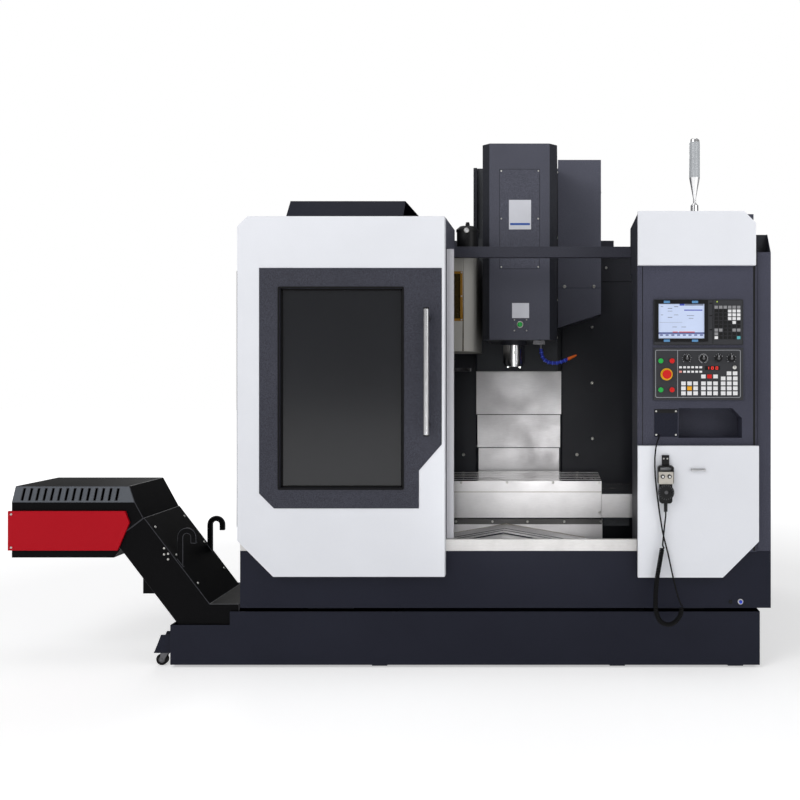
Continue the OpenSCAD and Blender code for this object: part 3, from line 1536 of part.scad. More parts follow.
bed();
column();
column_side_cover();
rear_cabinet();
coolant_tank();
chip_pan();
front_apron();
door_sill();
left_front_panel();
side_walls();
rear_splash_walls();
roof_hood();
header_beam();
control_cabinet();
white_front_panels();
display_unit();
operator_panel();
signal_light();
magazine_cover();
oil_canister();
conveyor_housing();
discharge_hood();
discharge_panel();
conveyor_belt();
pendant_body();
pendant_cord();
pendant_cord_curl();
door_panel();
door_fascia();
door_glass();
door_handle();
head_casting();
head_cover();
spindle_cartridge();
coolant_hose();
z_cover_upper();
spindle();
z_cover_middle();
z_cover_lower();
saddle();
y_cover_rear();
y_cover_middle();
table();
x_covers_inner();
magazine_carriage();
tool_carousel();
stop_button();
push_button(0);  // button_1
push_button(1);  // button_2
push_button(2);  // button_3
push_button(3);  // button_4
rotary_knob(0);  // knob_1
rotary_knob(1);  // knob_2
rotary_knob(2);  // knob_3
rotary_knob(3);  // knob_4
pendant_wheel();
caster_fork(caster_rows()[0]);  // caster_fork_front
caster_wheel(caster_rows()[0]);  // caster_wheel_front
caster_fork(caster_rows()[1]);  // caster_fork_rear
caster_wheel(caster_rows()[1]);  // caster_wheel_rear
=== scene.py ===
import math

import bmesh
import bpy
from mathutils import Matrix, Vector


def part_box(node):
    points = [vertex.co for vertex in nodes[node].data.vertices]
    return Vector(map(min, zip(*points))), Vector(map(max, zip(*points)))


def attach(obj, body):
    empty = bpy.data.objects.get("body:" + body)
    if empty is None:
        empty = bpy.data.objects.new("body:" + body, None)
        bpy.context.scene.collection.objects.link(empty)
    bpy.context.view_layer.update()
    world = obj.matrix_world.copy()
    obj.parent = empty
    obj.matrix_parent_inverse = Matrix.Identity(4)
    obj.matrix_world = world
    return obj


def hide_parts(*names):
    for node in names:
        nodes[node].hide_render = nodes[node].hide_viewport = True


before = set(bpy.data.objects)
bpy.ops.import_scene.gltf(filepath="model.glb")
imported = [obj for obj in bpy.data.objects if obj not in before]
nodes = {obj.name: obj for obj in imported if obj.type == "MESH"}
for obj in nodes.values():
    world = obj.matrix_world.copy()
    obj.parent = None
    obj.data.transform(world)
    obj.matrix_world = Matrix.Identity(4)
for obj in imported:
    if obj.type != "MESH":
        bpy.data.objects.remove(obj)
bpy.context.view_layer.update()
scene = bpy.context.scene

# Places are in millimetres from the spindle axis, the apron's front and the floor
spindleLow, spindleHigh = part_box("spindle")
machineX = (spindleLow[0] + spindleHigh[0]) / 2
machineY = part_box("front_apron")[0][1]
origin = Vector((machineX, machineY, 0))


def spot(x, y, z):
    return Vector((machineX + x / 1000, machineY + y / 1000, z / 1000))


def span(node):
    # a node's box in the same millimetres
    return [(Vector(corner) - origin) * 1000 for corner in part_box(node)]


def middleOf(node):
    low, high = span(node)
    return (low + high) / 2


class Values(dict):
    # the user values of one piece, read by name
    __getattr__ = dict.__getitem__


def addObject(name, data):
    made = bpy.data.objects.new(name, data)
    scene.collection.objects.link(made)
    return made


# Camera at the photograph's angle
photoCamera = Values(
    place=(245, -4250, 1321), tilt=90, focalPixels=946.5, imagePixels=800, axisPixel=(560, 375),
    sensor=36, farthest=200,
)


def makeCamera(v):
    data = bpy.data.cameras.new("photoCamera")
    half = v.imagePixels / 2
    data.sensor_width = v.sensor
    data.lens = v.focalPixels / v.imagePixels * v.sensor
    data.shift_x = (half - v.axisPixel[0]) / v.imagePixels
    data.shift_y = (v.axisPixel[1] - half) / v.imagePixels
    data.clip_end = v.farthest
    scene.camera = addObject("photoCamera", data)
    scene.camera.location = spot(*v.place)
    scene.camera.rotation_euler = (math.radians(v.tilt), 0, 0)


makeCamera(photoCamera)
print("camera set")


# Tools for shader nodes
def setSocket(tree, socket, value):
    # an output is linked to the socket, a plain value is set
    if isinstance(value, bpy.types.NodeSocket):
        tree.links.new(value, socket)
    else:
        socket.default_value = value


def setInputs(tree, node, **values):
    # inputs by name, with an underscore for each space
    for key, value in values.items():
        setSocket(tree, node.inputs[key.replace("_", " ")], value)
    return node


def addNode(tree, kind, **values):
    return setInputs(tree, tree.nodes.new(kind), **values)


def addNoise(tree, vector, scale, detail, roughness):
    return addNode(tree, "ShaderNodeTexNoise", Vector=vector, Scale=scale, Detail=detail,
                   Roughness=roughness).outputs["Fac"]


def addMath(tree, operation, *values, kind="ShaderNodeMath", result="Value"):
    node = tree.nodes.new(kind)
    node.operation = operation
    for socket, value in zip(node.inputs, values):
        setSocket(tree, socket, value)
    return node.outputs[result]


def addSpread(tree, value, low, high, newLow=0.0, newHigh=1.0):
    return addNode(tree, "ShaderNodeMapRange", Value=value, From_Min=low, From_Max=high, To_Min=newLow,
                   To_Max=newHigh).outputs["Result"]


def addBump(tree, height, strength, distance):
    return addNode(tree, "ShaderNodeBump", Height=height, Strength=strength,
                   Distance=distance).outputs["Normal"]


def mixColours(tree, factor, first, second):
    # a mix node keeps its colours at sockets 6 and 7, and the mixed colour at output 2
    node = tree.nodes.new("ShaderNodeMix")
    node.data_type = "RGBA"
    for i, value in ((0, factor), (6, first), (7, second)):
        setSocket(tree, node.inputs[i], (*value, 1) if isinstance(value, tuple) else value)
    return node.outputs[2]


def dim(colour, share):
    return tuple(c * share for c in colour)


# Shared effects as node groups
def startGroup(name, inputs, outputs):
    group = bpy.data.node_groups.new(name, "ShaderNodeTree")
    for socket, value in inputs.items():
        made = group.interface.new_socket(socket, in_out="INPUT", socket_type="NodeSocketFloat")
        made.default_value = value
    for socket in outputs:
        group.interface.new_socket(socket, in_out="OUTPUT", socket_type="NodeSocketFloat")
    return group, group.nodes.new("NodeGroupInput"), group.nodes.new("NodeGroupOutput")


def makeGrainGroup():
    # fine powder-coat grain, broad shading and soft handling marks
    sockets = {"Grain Scale": 900, "Blotch Scale": 2.2}
    group, start, end = startGroup("powderGrain", sockets, ["Grain", "Blotch", "Marks"])
    place = group.nodes.new("ShaderNodeTexCoord").outputs["Object"]
    grain = addNoise(group, place, start.outputs["Grain Scale"], 2, 0.6)
    blotch = addNoise(group, place, start.outputs["Blotch Scale"], 4, 0.55)
    marks = addNoise(group, place, 14, 6, 0.72)
    setInputs(group, end, Grain=addSpread(group, grain, 0.32, 0.68),
              Blotch=addSpread(group, blotch, 0.3, 0.7), Marks=addSpread(group, marks, 0.56, 0.72))
    return group


def makeBrushGroup():
    # hairline brushing, drawn out along the direction with the smallest stretch
    sockets = {"Stretch X": 1, "Stretch Y": 1, "Stretch Z": 1, "Fineness": 600}
    group, start, end = startGroup("hairline", sockets, ["Lines", "Cloud"])
    place = group.nodes.new("ShaderNodeTexCoord").outputs["Object"]
    stretch = {axis: start.outputs["Stretch " + axis] for axis in "XYZ"}
    joined = addNode(group, "ShaderNodeCombineXYZ", **stretch).outputs["Vector"]
    drawn = addMath(group, "MULTIPLY", place, joined, kind="ShaderNodeVectorMath", result="Vector")
    lines = addNoise(group, drawn, start.outputs["Fineness"], 3, 0.65)
    cloud = addNoise(group, place, 5.5, 5, 0.62)
    setInputs(group, end, Lines=addSpread(group, lines, 0.3, 0.7), Cloud=addSpread(group, cloud, 0.36, 0.66))
    return group


grainGroup = makeGrainGroup()
brushGroup = makeBrushGroup()


def useGroup(tree, group, **values):
    node = tree.nodes.new("ShaderNodeGroup")
    node.node_tree = group
    return setInputs(tree, node, **values).outputs


def startMaterial(name, roughness, metallic=0.0, specular=0.5):
    material = bpy.data.materials.new(name)
    material.use_nodes = True
    tree = material.node_tree
    shader = setInputs(tree, tree.nodes["Principled BSDF"], Roughness=roughness, Metallic=metallic,
                       Specular_IOR_Level=specular)
    return material, tree, shader


def powderCoat(name, colour, fleck, roughness, grain=900, bump=0.25, depth=0.0003, specular=0.3):
    material, tree, shader = startMaterial(name, roughness, 0, specular)
    out = useGroup(tree, grainGroup, Grain_Scale=grain)
    flecked = mixColours(tree, out["Grain"], colour, fleck)
    worn = mixColours(tree, addMath(tree, "MULTIPLY", out["Blotch"], 0.35), flecked, dim(colour, 0.82))
    rough = addMath(tree, "MULTIPLY_ADD", out["Blotch"], 0.1, roughness - 0.05)
    rough = addMath(tree, "MULTIPLY_ADD", out["Marks"], 0.05, rough)
    setInputs(tree, shader, Base_Color=worn, Roughness=rough, Normal=addBump(tree, out["Grain"], bump, depth))
    return material


def brushedSteel(name, colour, shade, roughness, stretch, fineness=600, bump=0.08, metallic=1.0):
    material, tree, shader = startMaterial(name, roughness, metallic)
    out = useGroup(tree, brushGroup, Stretch_X=stretch[0], Stretch_Y=stretch[1], Stretch_Z=stretch[2],
                   Fineness=fineness)
    lined = mixColours(tree, addMath(tree, "MULTIPLY", out["Lines"], 0.45), colour, shade)
    clouded = mixColours(tree, addMath(tree, "MULTIPLY", out["Cloud"], 0.55), lined, shade)
    rough = addMath(tree, "MULTIPLY_ADD", out["Lines"], 0.14, roughness - 0.1)
    rough = addMath(tree, "MULTIPLY_ADD", out["Cloud"], 0.12, rough)
    setInputs(tree, shader, Base_Color=clouded, Roughness=rough,
              Normal=addBump(tree, out["Lines"], bump, 0.0002))
    return material


def mouldedPlastic(name, colour, roughness, bump=0.12, glow=0.0, specular=0.3):
    material, tree, shader = startMaterial(name, roughness, 0, specular)
    out = useGroup(tree, grainGroup, Grain_Scale=2200, Blotch_Scale=9)
    shaded = mixColours(tree, addMath(tree, "MULTIPLY", out["Blotch"], 0.3), colour, dim(colour, 0.72))
    rough = addMath(tree, "MULTIPLY_ADD", out["Marks"], 0.08, roughness - 0.02)
    setInputs(tree, shader, Base_Color=shaded, Roughness=rough,
              Normal=addBump(tree, out["Grain"], bump, 0.0001))
    if glow:
        setInputs(tree, shader, Emission_Color=shaded, Emission_Strength=glow)
    return material


def tintedGlass(name, colour, roughness, opacity):
    material, tree, shader = startMaterial(name, roughness)
    out = useGroup(tree, grainGroup, Blotch_Scale=3)
    shaded = mixColours(tree, out["Blotch"], colour, dim(colour, 0.8))
    rough = addMath(tree, "MULTIPLY_ADD", out["Marks"], 0.04, roughness)
    setInputs(tree, shader, Base_Color=shaded, Roughness=rough, Alpha=opacity)
    return material


# Colour, fleck, roughness, grain, bump, depth of bump, specular
coats = {
    "whitePaint": ((0.80, 0.815, 0.86), (0.74, 0.755, 0.80), 0.42, 1400, 0.06),
    "postPaint": ((0.58, 0.58, 0.62), (0.53, 0.53, 0.57), 0.4, 1400, 0.05),
    "darkPaint": ((0.020, 0.021, 0.030), (0.062, 0.064, 0.088), 0.5, 300, 0.35, 0.0004, 0.25),
    # headPaint: a lighter copy of darkPaint for the head cover, its service panel and the roof box's right
    # side: painted light
    "headPaint": ((0.050, 0.052, 0.070), (0.118, 0.122, 0.162), 0.5, 300, 0.35, 0.0004, 0.25),
    # innerPaint: a darker copy of darkPaint for the enclosure's inside and the shaded sides of parts: painted
    # shade
    "innerPaint": ((0.018, 0.019, 0.025), (0.044, 0.046, 0.058), 0.46, 300, 0.3, 0.0004, 0.2),
    "navyPaint": ((0.0075, 0.0085, 0.0165), (0.016, 0.018, 0.033), 0.5, 300, 0.3, 0.0004, 0.15),
    "blackPaint": ((0.0015, 0.0015, 0.0018), (0.005, 0.005, 0.006), 0.52, 300, 0.3, 0.0004, 0.06),
    # edgePaint: a paler black for the conveyor's bevelled edges: painted highlight
    "edgePaint": ((0.036, 0.037, 0.044), (0.056, 0.058, 0.066), 0.42, 300, 0.1),
    # sidePaint: a lighter copy of darkPaint for the column's side cover: painted light
    "sidePaint": ((0.068, 0.071, 0.096), (0.155, 0.160, 0.212), 0.5, 300, 0.35, 0.0004, 0.25),
    "cabinetPaint": ((0.026, 0.027, 0.042), (0.078, 0.081, 0.120), 0.5, 300, 0.35, 0.0004, 0.25),
    "redPaint": ((0.46, 0.001, 0.010), (0.39, 0.001, 0.008), 0.4, 1200, 0.06, 0.0003, 0.12),
    "castPaint": ((0.045, 0.048, 0.055), (0.075, 0.080, 0.090), 0.6, 260, 0.5, 0.0008),
    "magazinePaint": ((0.42, 0.41, 0.38), (0.36, 0.35, 0.33), 0.45, 1200, 0.08),
    # ventPaint: a paler blue-grey for the hood's faces that slant up and forward: painted light where the
    # light falls on them
    "ventPaint": ((0.075, 0.085, 0.10), (0.11, 0.12, 0.14), 0.5, 620, 0.3, 0.0004),
}
# Colour, shade, roughness, stretch, fineness, bump, metallic
steels = {
    "sheetSteel": ((0.70, 0.69, 0.68), (0.50, 0.49, 0.48), 0.42, (0.05, 1, 1), 600, 0.08, 0.6),
    "coverSteel": ((0.80, 0.79, 0.80), (0.62, 0.60, 0.61), 0.44, (0.04, 1, 1), 600, 0.08, 0.45),
    "tableSteel": ((0.74, 0.73, 0.735), (0.56, 0.55, 0.555), 0.36, (0.04, 1, 1), 600, 0.08, 0.55),
    "polished": ((0.86, 0.86, 0.87), (0.7, 0.7, 0.71), 0.18, (1, 1, 0.03), 900, 0.02),
    "handleSteel": ((0.66, 0.66, 0.67), (0.45, 0.45, 0.46), 0.32, (1, 1, 0.03), 900, 0.05),
    "darkSteel": ((0.20, 0.20, 0.21), (0.10, 0.10, 0.11), 0.45, (1, 1, 0.1), 500, 0.1),
    "screwSteel": ((0.72, 0.71, 0.68), (0.5, 0.5, 0.48), 0.3, (1, 1, 1), 900, 0.05),
    "faceSteel": ((0.56, 0.53, 0.48), (0.42, 0.40, 0.36), 0.4, (0.05, 1, 1)),
    # barSteel: the bolted bar's own steel, darkened partly as painted shade under the table's edge
    "barSteel": ((0.110, 0.108, 0.106), (0.070, 0.069, 0.068), 0.5, (0.05, 1, 1), 600, 0.08, 0.3),
    "mirrorSteel": ((0.74, 0.73, 0.72), (0.62, 0.61, 0.60), 0.16, (0.04, 1, 1), 600, 0.015),
}
# Colour, roughness, bump, glow, specular
plastics = {
    "blackPlastic": ((0.005, 0.005, 0.006), 0.42, 0.12, 0, 0.22),
    "panelPlastic": ((0.030, 0.031, 0.036), 0.55),
    "greyPlastic": ((0.10, 0.10, 0.105), 0.5),
    "linePaint": ((0.34, 0.35, 0.37), 0.5),
    "markPaint": ((0.70, 0.71, 0.74), 0.5),
    "whiteKey": ((0.78, 0.78, 0.79), 0.4),
    "greyKey": ((0.26, 0.26, 0.27), 0.45),
    "darkKey": ((0.004, 0.004, 0.0045), 0.4),
    "orangeKey": ((0.85, 0.38, 0.01), 0.4),
    "cyanKey": ((0.10, 0.42, 0.46), 0.4),
    "roseKey": ((0.72, 0.30, 0.27), 0.4),
    "redCap": ((0.62, 0.012, 0.010), 0.3, 0.05),
    "greenCap": ((0.02, 0.42, 0.07), 0.3, 0.05),
    "yellowRing": ((0.85, 0.46, 0.01), 0.35, 0.05),
    "blueClip": ((0.10, 0.26, 0.48), 0.35),
    "plugBlue": ((0.03, 0.07, 0.62), 0.35),
    # ringBlue: a paler copy of the hose blue for its rings: painted highlight
    "ringBlue": ((0.06, 0.12, 0.66), 0.3),
    "hoseBlue": ((0.012, 0.026, 0.36), 0.35),
    "hoseOrange": ((0.72, 0.13, 0.01), 0.35),
    "amberFrame": ((0.30, 0.15, 0.02), 0.35),
    "rubber": ((0.004, 0.004, 0.0045), 0.6, 0.12, 0, 0.15),
    "wiperRubber": ((0.16, 0.12, 0.04), 0.5),
    # lipRubber: near-black rubber for the cover lips, dark also as painted shadow along each cover's step
    "lipRubber": ((0.010, 0.011, 0.020), 0.5),
    "lensPale": ((0.44, 0.46, 0.48), 0.16, 0.008),
    "screenGlow": ((0.46, 0.53, 0.70), 0.3, 0.02, 0.3),
    "screenBlue": ((0.05, 0.07, 0.34), 0.25, 0.02, 0.4),
    "screenGrey": ((0.16, 0.18, 0.24), 0.25, 0.02, 0.4),
    "screenRed": ((0.55, 0.10, 0.08), 0.25, 0.02, 0.4),
    "screenNavy": ((0.10, 0.12, 0.26), 0.25, 0.02, 0.3),
    "digitRed": ((0.85, 0.05, 0.03), 0.3, 0.02, 0.8),
    "lampGreen": ((0.35, 0.5, 0.05), 0.3, 0.02, 0.6),
    "platePale": ((0.72, 0.73, 0.79), 0.4),
    "bandBlue": ((0.05, 0.12, 0.42), 0.4),
}
# Colour, roughness, opacity
glasses = {
    "amberWindow": ((0.050, 0.034, 0.012), 0.12, 0.96),
    "doorGlass": ((0.013, 0.014, 0.017), 0.16, 0.93),
}
finishes = {}
for makeFinish, table in ((powderCoat, coats), (brushedSteel, steels), (mouldedPlastic, plastics),
                          (tintedGlass, glasses)):
    for name, values in table.items():
        finishes[name] = makeFinish(name, *values)
print("materials made")

# Finish of each node of the solids
nodeFinishes = {
    "whitePaint": "door_panel white_front_panels",
    "magazinePaint": "magazine_cover",
    "darkPaint": "door_fascia rear_cabinet left_front_panel side_walls header_beam",
    # the column's side cover takes the lighter copy of the dark paint: painted light
    "sidePaint": "column_side_cover",
    # the rear splash walls take the darker copy of the dark paint: painted shade
    "innerPaint": "rear_splash_walls",
    "navyPaint": "roof_hood coolant_tank front_apron",
    "cabinetPaint": "control_cabinet",
    # the head cover takes the lighter copy of the dark paint: painted light
    "headPaint": "head_cover",
    "blackPaint": "conveyor_housing discharge_hood",
    "redPaint": "discharge_panel",
    "castPaint": "bed column saddle head_casting",
    "sheetSteel": "door_sill",
    "coverSteel": "z_cover_upper z_cover_middle z_cover_lower y_cover_rear y_cover_middle x_covers_inner "
                  "chip_pan",
    "tableSteel": "table",
    "handleSteel": "door_handle",
    "polished": "spindle_cartridge spindle",
    "darkSteel": "magazine_carriage tool_carousel conveyor_belt caster_fork_front caster_fork_rear",
    "doorGlass": "door_glass",
    "panelPlastic": "display_unit operator_panel",
    "blackPlastic": "oil_canister pendant_body pendant_wheel knob_1 knob_2 knob_3 knob_4",
    "redCap": "stop_button button_2 button_4",
    "greenCap": "button_1 button_3",
    "lensPale": "signal_light",
    "hoseBlue": "coolant_hose",
    "rubber": "caster_wheel_front caster_wheel_rear",
}
for finish, names in nodeFinishes.items():
    for name in names.split():
        nodes[name].data.materials.clear()
        nodes[name].data.materials.append(finishes[finish])


def repaint(node, finish, inside):
    # a second finish on the faces whose middle, in millimetres, and normal pass the test
    mesh = nodes[node].data
    mesh.materials.append(finishes[finish])
    index = len(mesh.materials) - 1
    for face in mesh.polygons:
        if inside((face.center - origin) * 1000, face.normal):
            face.material_index = index


# Tools for new pieces
def once(parts):
    return list(dict.fromkeys(parts))


def newFaces(bm, before):
    return [face for face in bm.faces if face not in before]


def paintFaces(faces, finish, smooth=False):
    for face in faces:
        face.material_index = finish
        face.smooth = smooth


def rotation(degrees, axis):
    return Matrix.Rotation(math.radians(degrees), 3, axis)


turns = {
    "z": Matrix.Identity(3),
    "x": rotation(90, "Y"),
    "y": rotation(-90, "X"),
    "-y": rotation(90, "X"),
    "-x": rotation(-90, "Y"),
    "-z": rotation(180, "X"),
}


def addBox(bm, low, high, bevel=0.0, finish=0):
    low = Vector(low)
    high = Vector(high)
    verts = bmesh.ops.create_cube(bm, size=1)["verts"]
    bmesh.ops.scale(bm, verts=verts, vec=(high - low) / 1000)
    bmesh.ops.translate(bm, verts=verts, vec=spot(*((low + high) / 2)))
    paintFaces(once(face for vert in verts for face in vert.link_faces), finish)
    if bevel:
        edges = once(edge for vert in verts for edge in vert.link_edges)
        bmesh.ops.bevel(bm, geom=edges, offset=bevel / 1000, affect="EDGES", segments=2, profile=0.5,
                        material=-1)


def addBar(bm, place, size, angle, shift=0.0, finish=0):
    # bar that runs from a place along x, tilted upwards by an angle
    verts = bmesh.ops.create_cube(bm, size=1)["verts"]
    bmesh.ops.scale(bm, verts=verts, vec=Vector(size) / 1000)
    bmesh.ops.translate(bm, verts=verts, vec=((shift + size[0] / 2) / 1000, 0, 0))
    bmesh.ops.rotate(bm, verts=verts, cent=(0, 0, 0), matrix=rotation(-angle, "Y"))
    bmesh.ops.translate(bm, verts=verts, vec=spot(*place))
    paintFaces(once(face for vert in verts for face in vert.link_faces), finish)


def addFrame(bm, low, high, front, width, depth, corner=0.0, finish=0):
    # flat frame standing out towards the viewer, its corners given as x and z
    before = set(bm.faces)
    verts = bmesh.ops.create_grid(bm, x_segments=1, y_segments=1, size=0.5)["verts"]
    bmesh.ops.scale(bm, verts=verts, vec=((high[0] - low[0]) / 1000, (high[1] - low[1]) / 1000, 1))
    bmesh.ops.rotate(bm, verts=verts, cent=(0, 0, 0), matrix=turns["-y"])
    bmesh.ops.translate(bm, verts=verts, vec=spot((low[0] + high[0]) / 2, front, (low[1] + high[1]) / 2))
    if corner:
        bmesh.ops.bevel(bm, geom=verts, offset=corner / 1000, affect="VERTICES", segments=4, profile=0.5,
                        material=-1)
    inner = newFaces(bm, before)[0]
    ring = bmesh.ops.inset_region(bm, faces=[inner], thickness=width / 1000, use_even_offset=True,
                                  use_boundary=True)["faces"]
    bmesh.ops.delete(bm, geom=[inner], context="FACES_ONLY")
    grown = bmesh.ops.extrude_face_region(bm, geom=ring, use_keep_orig=True)["geom"]
    moved = [part for part in grown if isinstance(part, bmesh.types.BMVert)]
    bmesh.ops.translate(bm, verts=moved, vec=(0, -depth / 1000, 0))
    faces = newFaces(bm, before)
    bmesh.ops.recalc_face_normals(bm, faces=faces)
    paintFaces(faces, finish)


def addTurned(bm, place, axis, profile, sides=32, finish=0, smooth=True):
    # profile of radius and height in millimetres, turned about an axis from its foot
    before = set(bm.faces)
    verts = [bm.verts.new((r / 1000, 0, h / 1000)) for r, h in profile]
    edges = [bm.edges.new(pair) for pair in zip(verts, verts[1:])]
    bmesh.ops.spin(bm, geom=verts + edges, cent=(0, 0, 0), axis=(0, 0, 1), angle=math.tau, steps=sides,
                   use_merge=True)
    points = once(vert for face in newFaces(bm, before) for vert in face.verts)
    bmesh.ops.remove_doubles(bm, verts=points, dist=1e-6)
    faces = newFaces(bm, before)
    points = once(vert for face in faces for vert in face.verts)
    bmesh.ops.recalc_face_normals(bm, faces=faces)
    turn = turns[axis] if isinstance(axis, str) else axis
    bmesh.ops.rotate(bm, verts=points, cent=(0, 0, 0), matrix=turn)
    bmesh.ops.translate(bm, verts=points, vec=spot(*place))
    paintFaces(faces, finish, smooth)


# Profiles as shares of a radius and a height: button head with a socket, and nut with turned-down corners
screwShape = [(0, 0), (1, 0), (1, 0.3), (0.86, 0.75), (0.6, 1), (0.45, 1), (0.45, 0.35), (0, 0.35)]
nutShape = [(0.5, 0), (1, 0), (1, 0.85), (0.88, 1), (0.5, 1), (0.5, 0)]


def scaled(shape, radius, height):
    return [(radius * r, height * h) for r, h in shape]


def addScrews(bm, places, axis, radius, height, finish=0):
    for place in places:
        addTurned(bm, place, axis, scaled(screwShape, radius, height), 16, finish)


def addNut(bm, place, radius, height, finish=0):
    addTurned(bm, place, "z", scaled(nutShape, radius, height), 6, finish, False)


def finishPiece(name, bm, paints, body="machine"):
    mesh = bpy.data.meshes.new(name)
    bm.to_mesh(mesh)
    bm.free()
    for paint in paints.split():
        mesh.materials.append(finishes[paint])
    piece = addObject(name, mesh)
    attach(piece, body)


# Cord of the hand pendant, first straight, then curly, then straight up to the strain relief
pendantCord = Values(
    thick=7.0, roundness=3, curlAcross=22.0, turnsOfCurl=70, stepsPerTurn=12, leadTurns=2, leadDelay=0.6,
    outletX=23, reliefBack=16,
    down=[(0, 0, 0), (0, -14, -2), (-5, -32, -16), (-14, -41, -40), (-21, -42, -98), (-19, -42, -178),
          (-9, -42, -275), (13, -42, -424), (36, -42, -516), (59, -42, -623), (80, -42, -708),
          (94, -42, -744)],
    downSteps=2,
    curl=[(94, -42, -744), (95, -42, -780), (76, -44, -816), (42, -46, -834), (4, -48, -820),
          (-16, -50, -774), (-19, -52, -710), (-13, -54, -631), (0, -56, -552), (12, -56, -478)],
    curlSteps=8, rise=(4, 0, 40), up=[(-5, -8, -55), (0, -3, -18), (0, 0, 0)], upSteps=3,
)


def splinePoint(p, i, t):
    a, b, c, d = p[max(i - 1, 0)], p[i], p[i + 1], p[min(i + 2, len(p) - 1)]
    cubic = (3 * b - a - 3 * c + d) * t * t * t
    return 0.5 * (2 * b + (c - a) * t + (2 * a - 5 * b + 4 * c - d) * t * t + cubic)


def smoothRoute(p, n):
    return [splinePoint(p, i, k / n) for i in range(len(p) - 1) for k in range(n)] + [p[-1]]


def routeLength(p):
    return sum((b - a).length for a, b in zip(p, p[1:]))


def evenRoute(p, count):
    # points at equal distances along a route
    total = routeLength(p)
    out = []
    i = 0
    walked = 0.0
    for k in range(count + 1):
        goal = total * k / count
        while i < len(p) - 2 and walked + (p[i + 1] - p[i]).length < goal:
            walked += (p[i + 1] - p[i]).length
            i += 1
        step = (p[i + 1] - p[i]).length
        out.append(p[i].lerp(p[i + 1], min(1.0, (goal - walked) / step)))
    return out


def curlRoute(v, line):
    # helix about a line, drawn in to the line at both ends
    count = v.turnsOfCurl * v.stepsPerTurn
    centre = evenRoute(line, count)
    radius = (v.curlAcross - v.thick) / 2
    lead = v.leadTurns * v.stepsPerTurn
    delay = v.leadDelay
    turn = 0.0
    helix = []
    for i, point in enumerate(centre):
        ahead = (centre[min(i + 1, count)] - centre[max(i - 1, 0)]).normalized()
        across = ahead.cross(Vector((0, 1, 0))).normalized()
        ease = min(1.0, i / lead, (count - i) / lead)
        ease = ease * ease * (3 - 2 * ease)
        turn += min(1.0, max(0.0, i / lead - delay), max(0.0, (count - i) / lead - delay))
        angle = math.tau * turn / v.stepsPerTurn
        offset = math.cos(angle) * across + math.sin(angle) * ahead.cross(across)
        helix.append(point + radius * ease * offset)
    return helix


def makePendantCord(v):
    bodyLow, bodyHigh = span("pendant_body")
    outlet = span("pendant_cord")[1]
    top = Vector((span("operator_panel")[0].x + v.outletX, outlet.y, outlet.z - v.thick / 2))
    relief = Vector((middleOf("pendant_wheel").x, bodyHigh.y - v.reliefBack, bodyLow.z))
    down = smoothRoute([top + Vector(p) for p in v.down], v.downSteps)
    curl = smoothRoute([top + Vector(p) for p in v.curl], v.curlSteps)
    rise = [curl[-1], curl[-1] + Vector(v.rise)]
    up = smoothRoute(rise + [relief + Vector(p) for p in v.up], v.upSteps)
    route = down[:-1] + curlRoute(v, curl) + up[1:]
    data = bpy.data.curves.new("pendantCord", "CURVE")
    data.dimensions = "3D"
    data.bevel_depth = v.thick / 2000
    data.bevel_resolution = v.roundness
    data.use_fill_caps = True
    spline = data.splines.new("POLY")
    spline.points.add(len(route) - 1)
    for target, point in zip(spline.points, route):
        target.co = (*spot(*point), 1)
    data.materials.append(finishes["rubber"])
    piece = addObject("pendantCord", data)
    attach(piece, "machine")
    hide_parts("pendant_cord", "pendant_cord_curl")


makePendantCord(pendantCord)

# Operator panel: key colours, frame line, dial marks, read-out and toggle
operatorPanel = Values(
    front=-28, proud=0.2,
    keyFields={"whiteKey": (110, 392, 15, 156), "orangeKey": (149, 171, 43, 62),
               "redCap": (238, 260, 96, 115), "roseKey": (113, 127, 121, 132)},
    stop=(58, 115), stopRing=28, frameLow=(8, 11), frameHigh=(388, 224), frameCorner=7, line=2.2,
    lineDepth=0.5, divider=106, dialZ=186,
    dials=[(148, 225, -45, 11), (222, 250, -70, 33), (289, 150, 30, 5), (347, 225, -45, 9)],
    dialInner=17.5, markLengths=(4.5, 2.4), mark=(0.4, 1.3), readout=(229, 134, 67, 18), readoutDepth=1.2,
    digits=[(1, 2), (0, 1, 2, 3, 4, 5), (0, 1, 2, 3, 4, 5)], digitFoot=(8, 3), digitPitch=20,
    digitSize=(10, 12, 2), digitDepth=0.4, toggle=(361, 146),
    collar=[(0, 0), (9, 0), (9, 3), (7, 4), (5, 4), (4, 7), (0, 7)], leverFoot=4,
    lever=[(0, 0), (2.2, 0), (3, 14), (2.4, 17), (0, 18)],
)


def addDigit(bm, x, front, z, size, strokes, depth, finish):
    # strokes are counted clockwise from the top one
    w, h, t = size
    bars = [((0, h - t), (w, h)), ((w - t, h / 2), (w, h)), ((w - t, 0), (w, h / 2)), ((0, 0), (w, t)),
            ((0, 0), (t, h / 2)), ((0, h / 2), (t, h))]
    for stroke in strokes:
        low, high = bars[stroke]
        addBox(bm, (x + low[0], front - depth, z + low[1]), (x + high[0], front, z + high[1]), 0, finish)


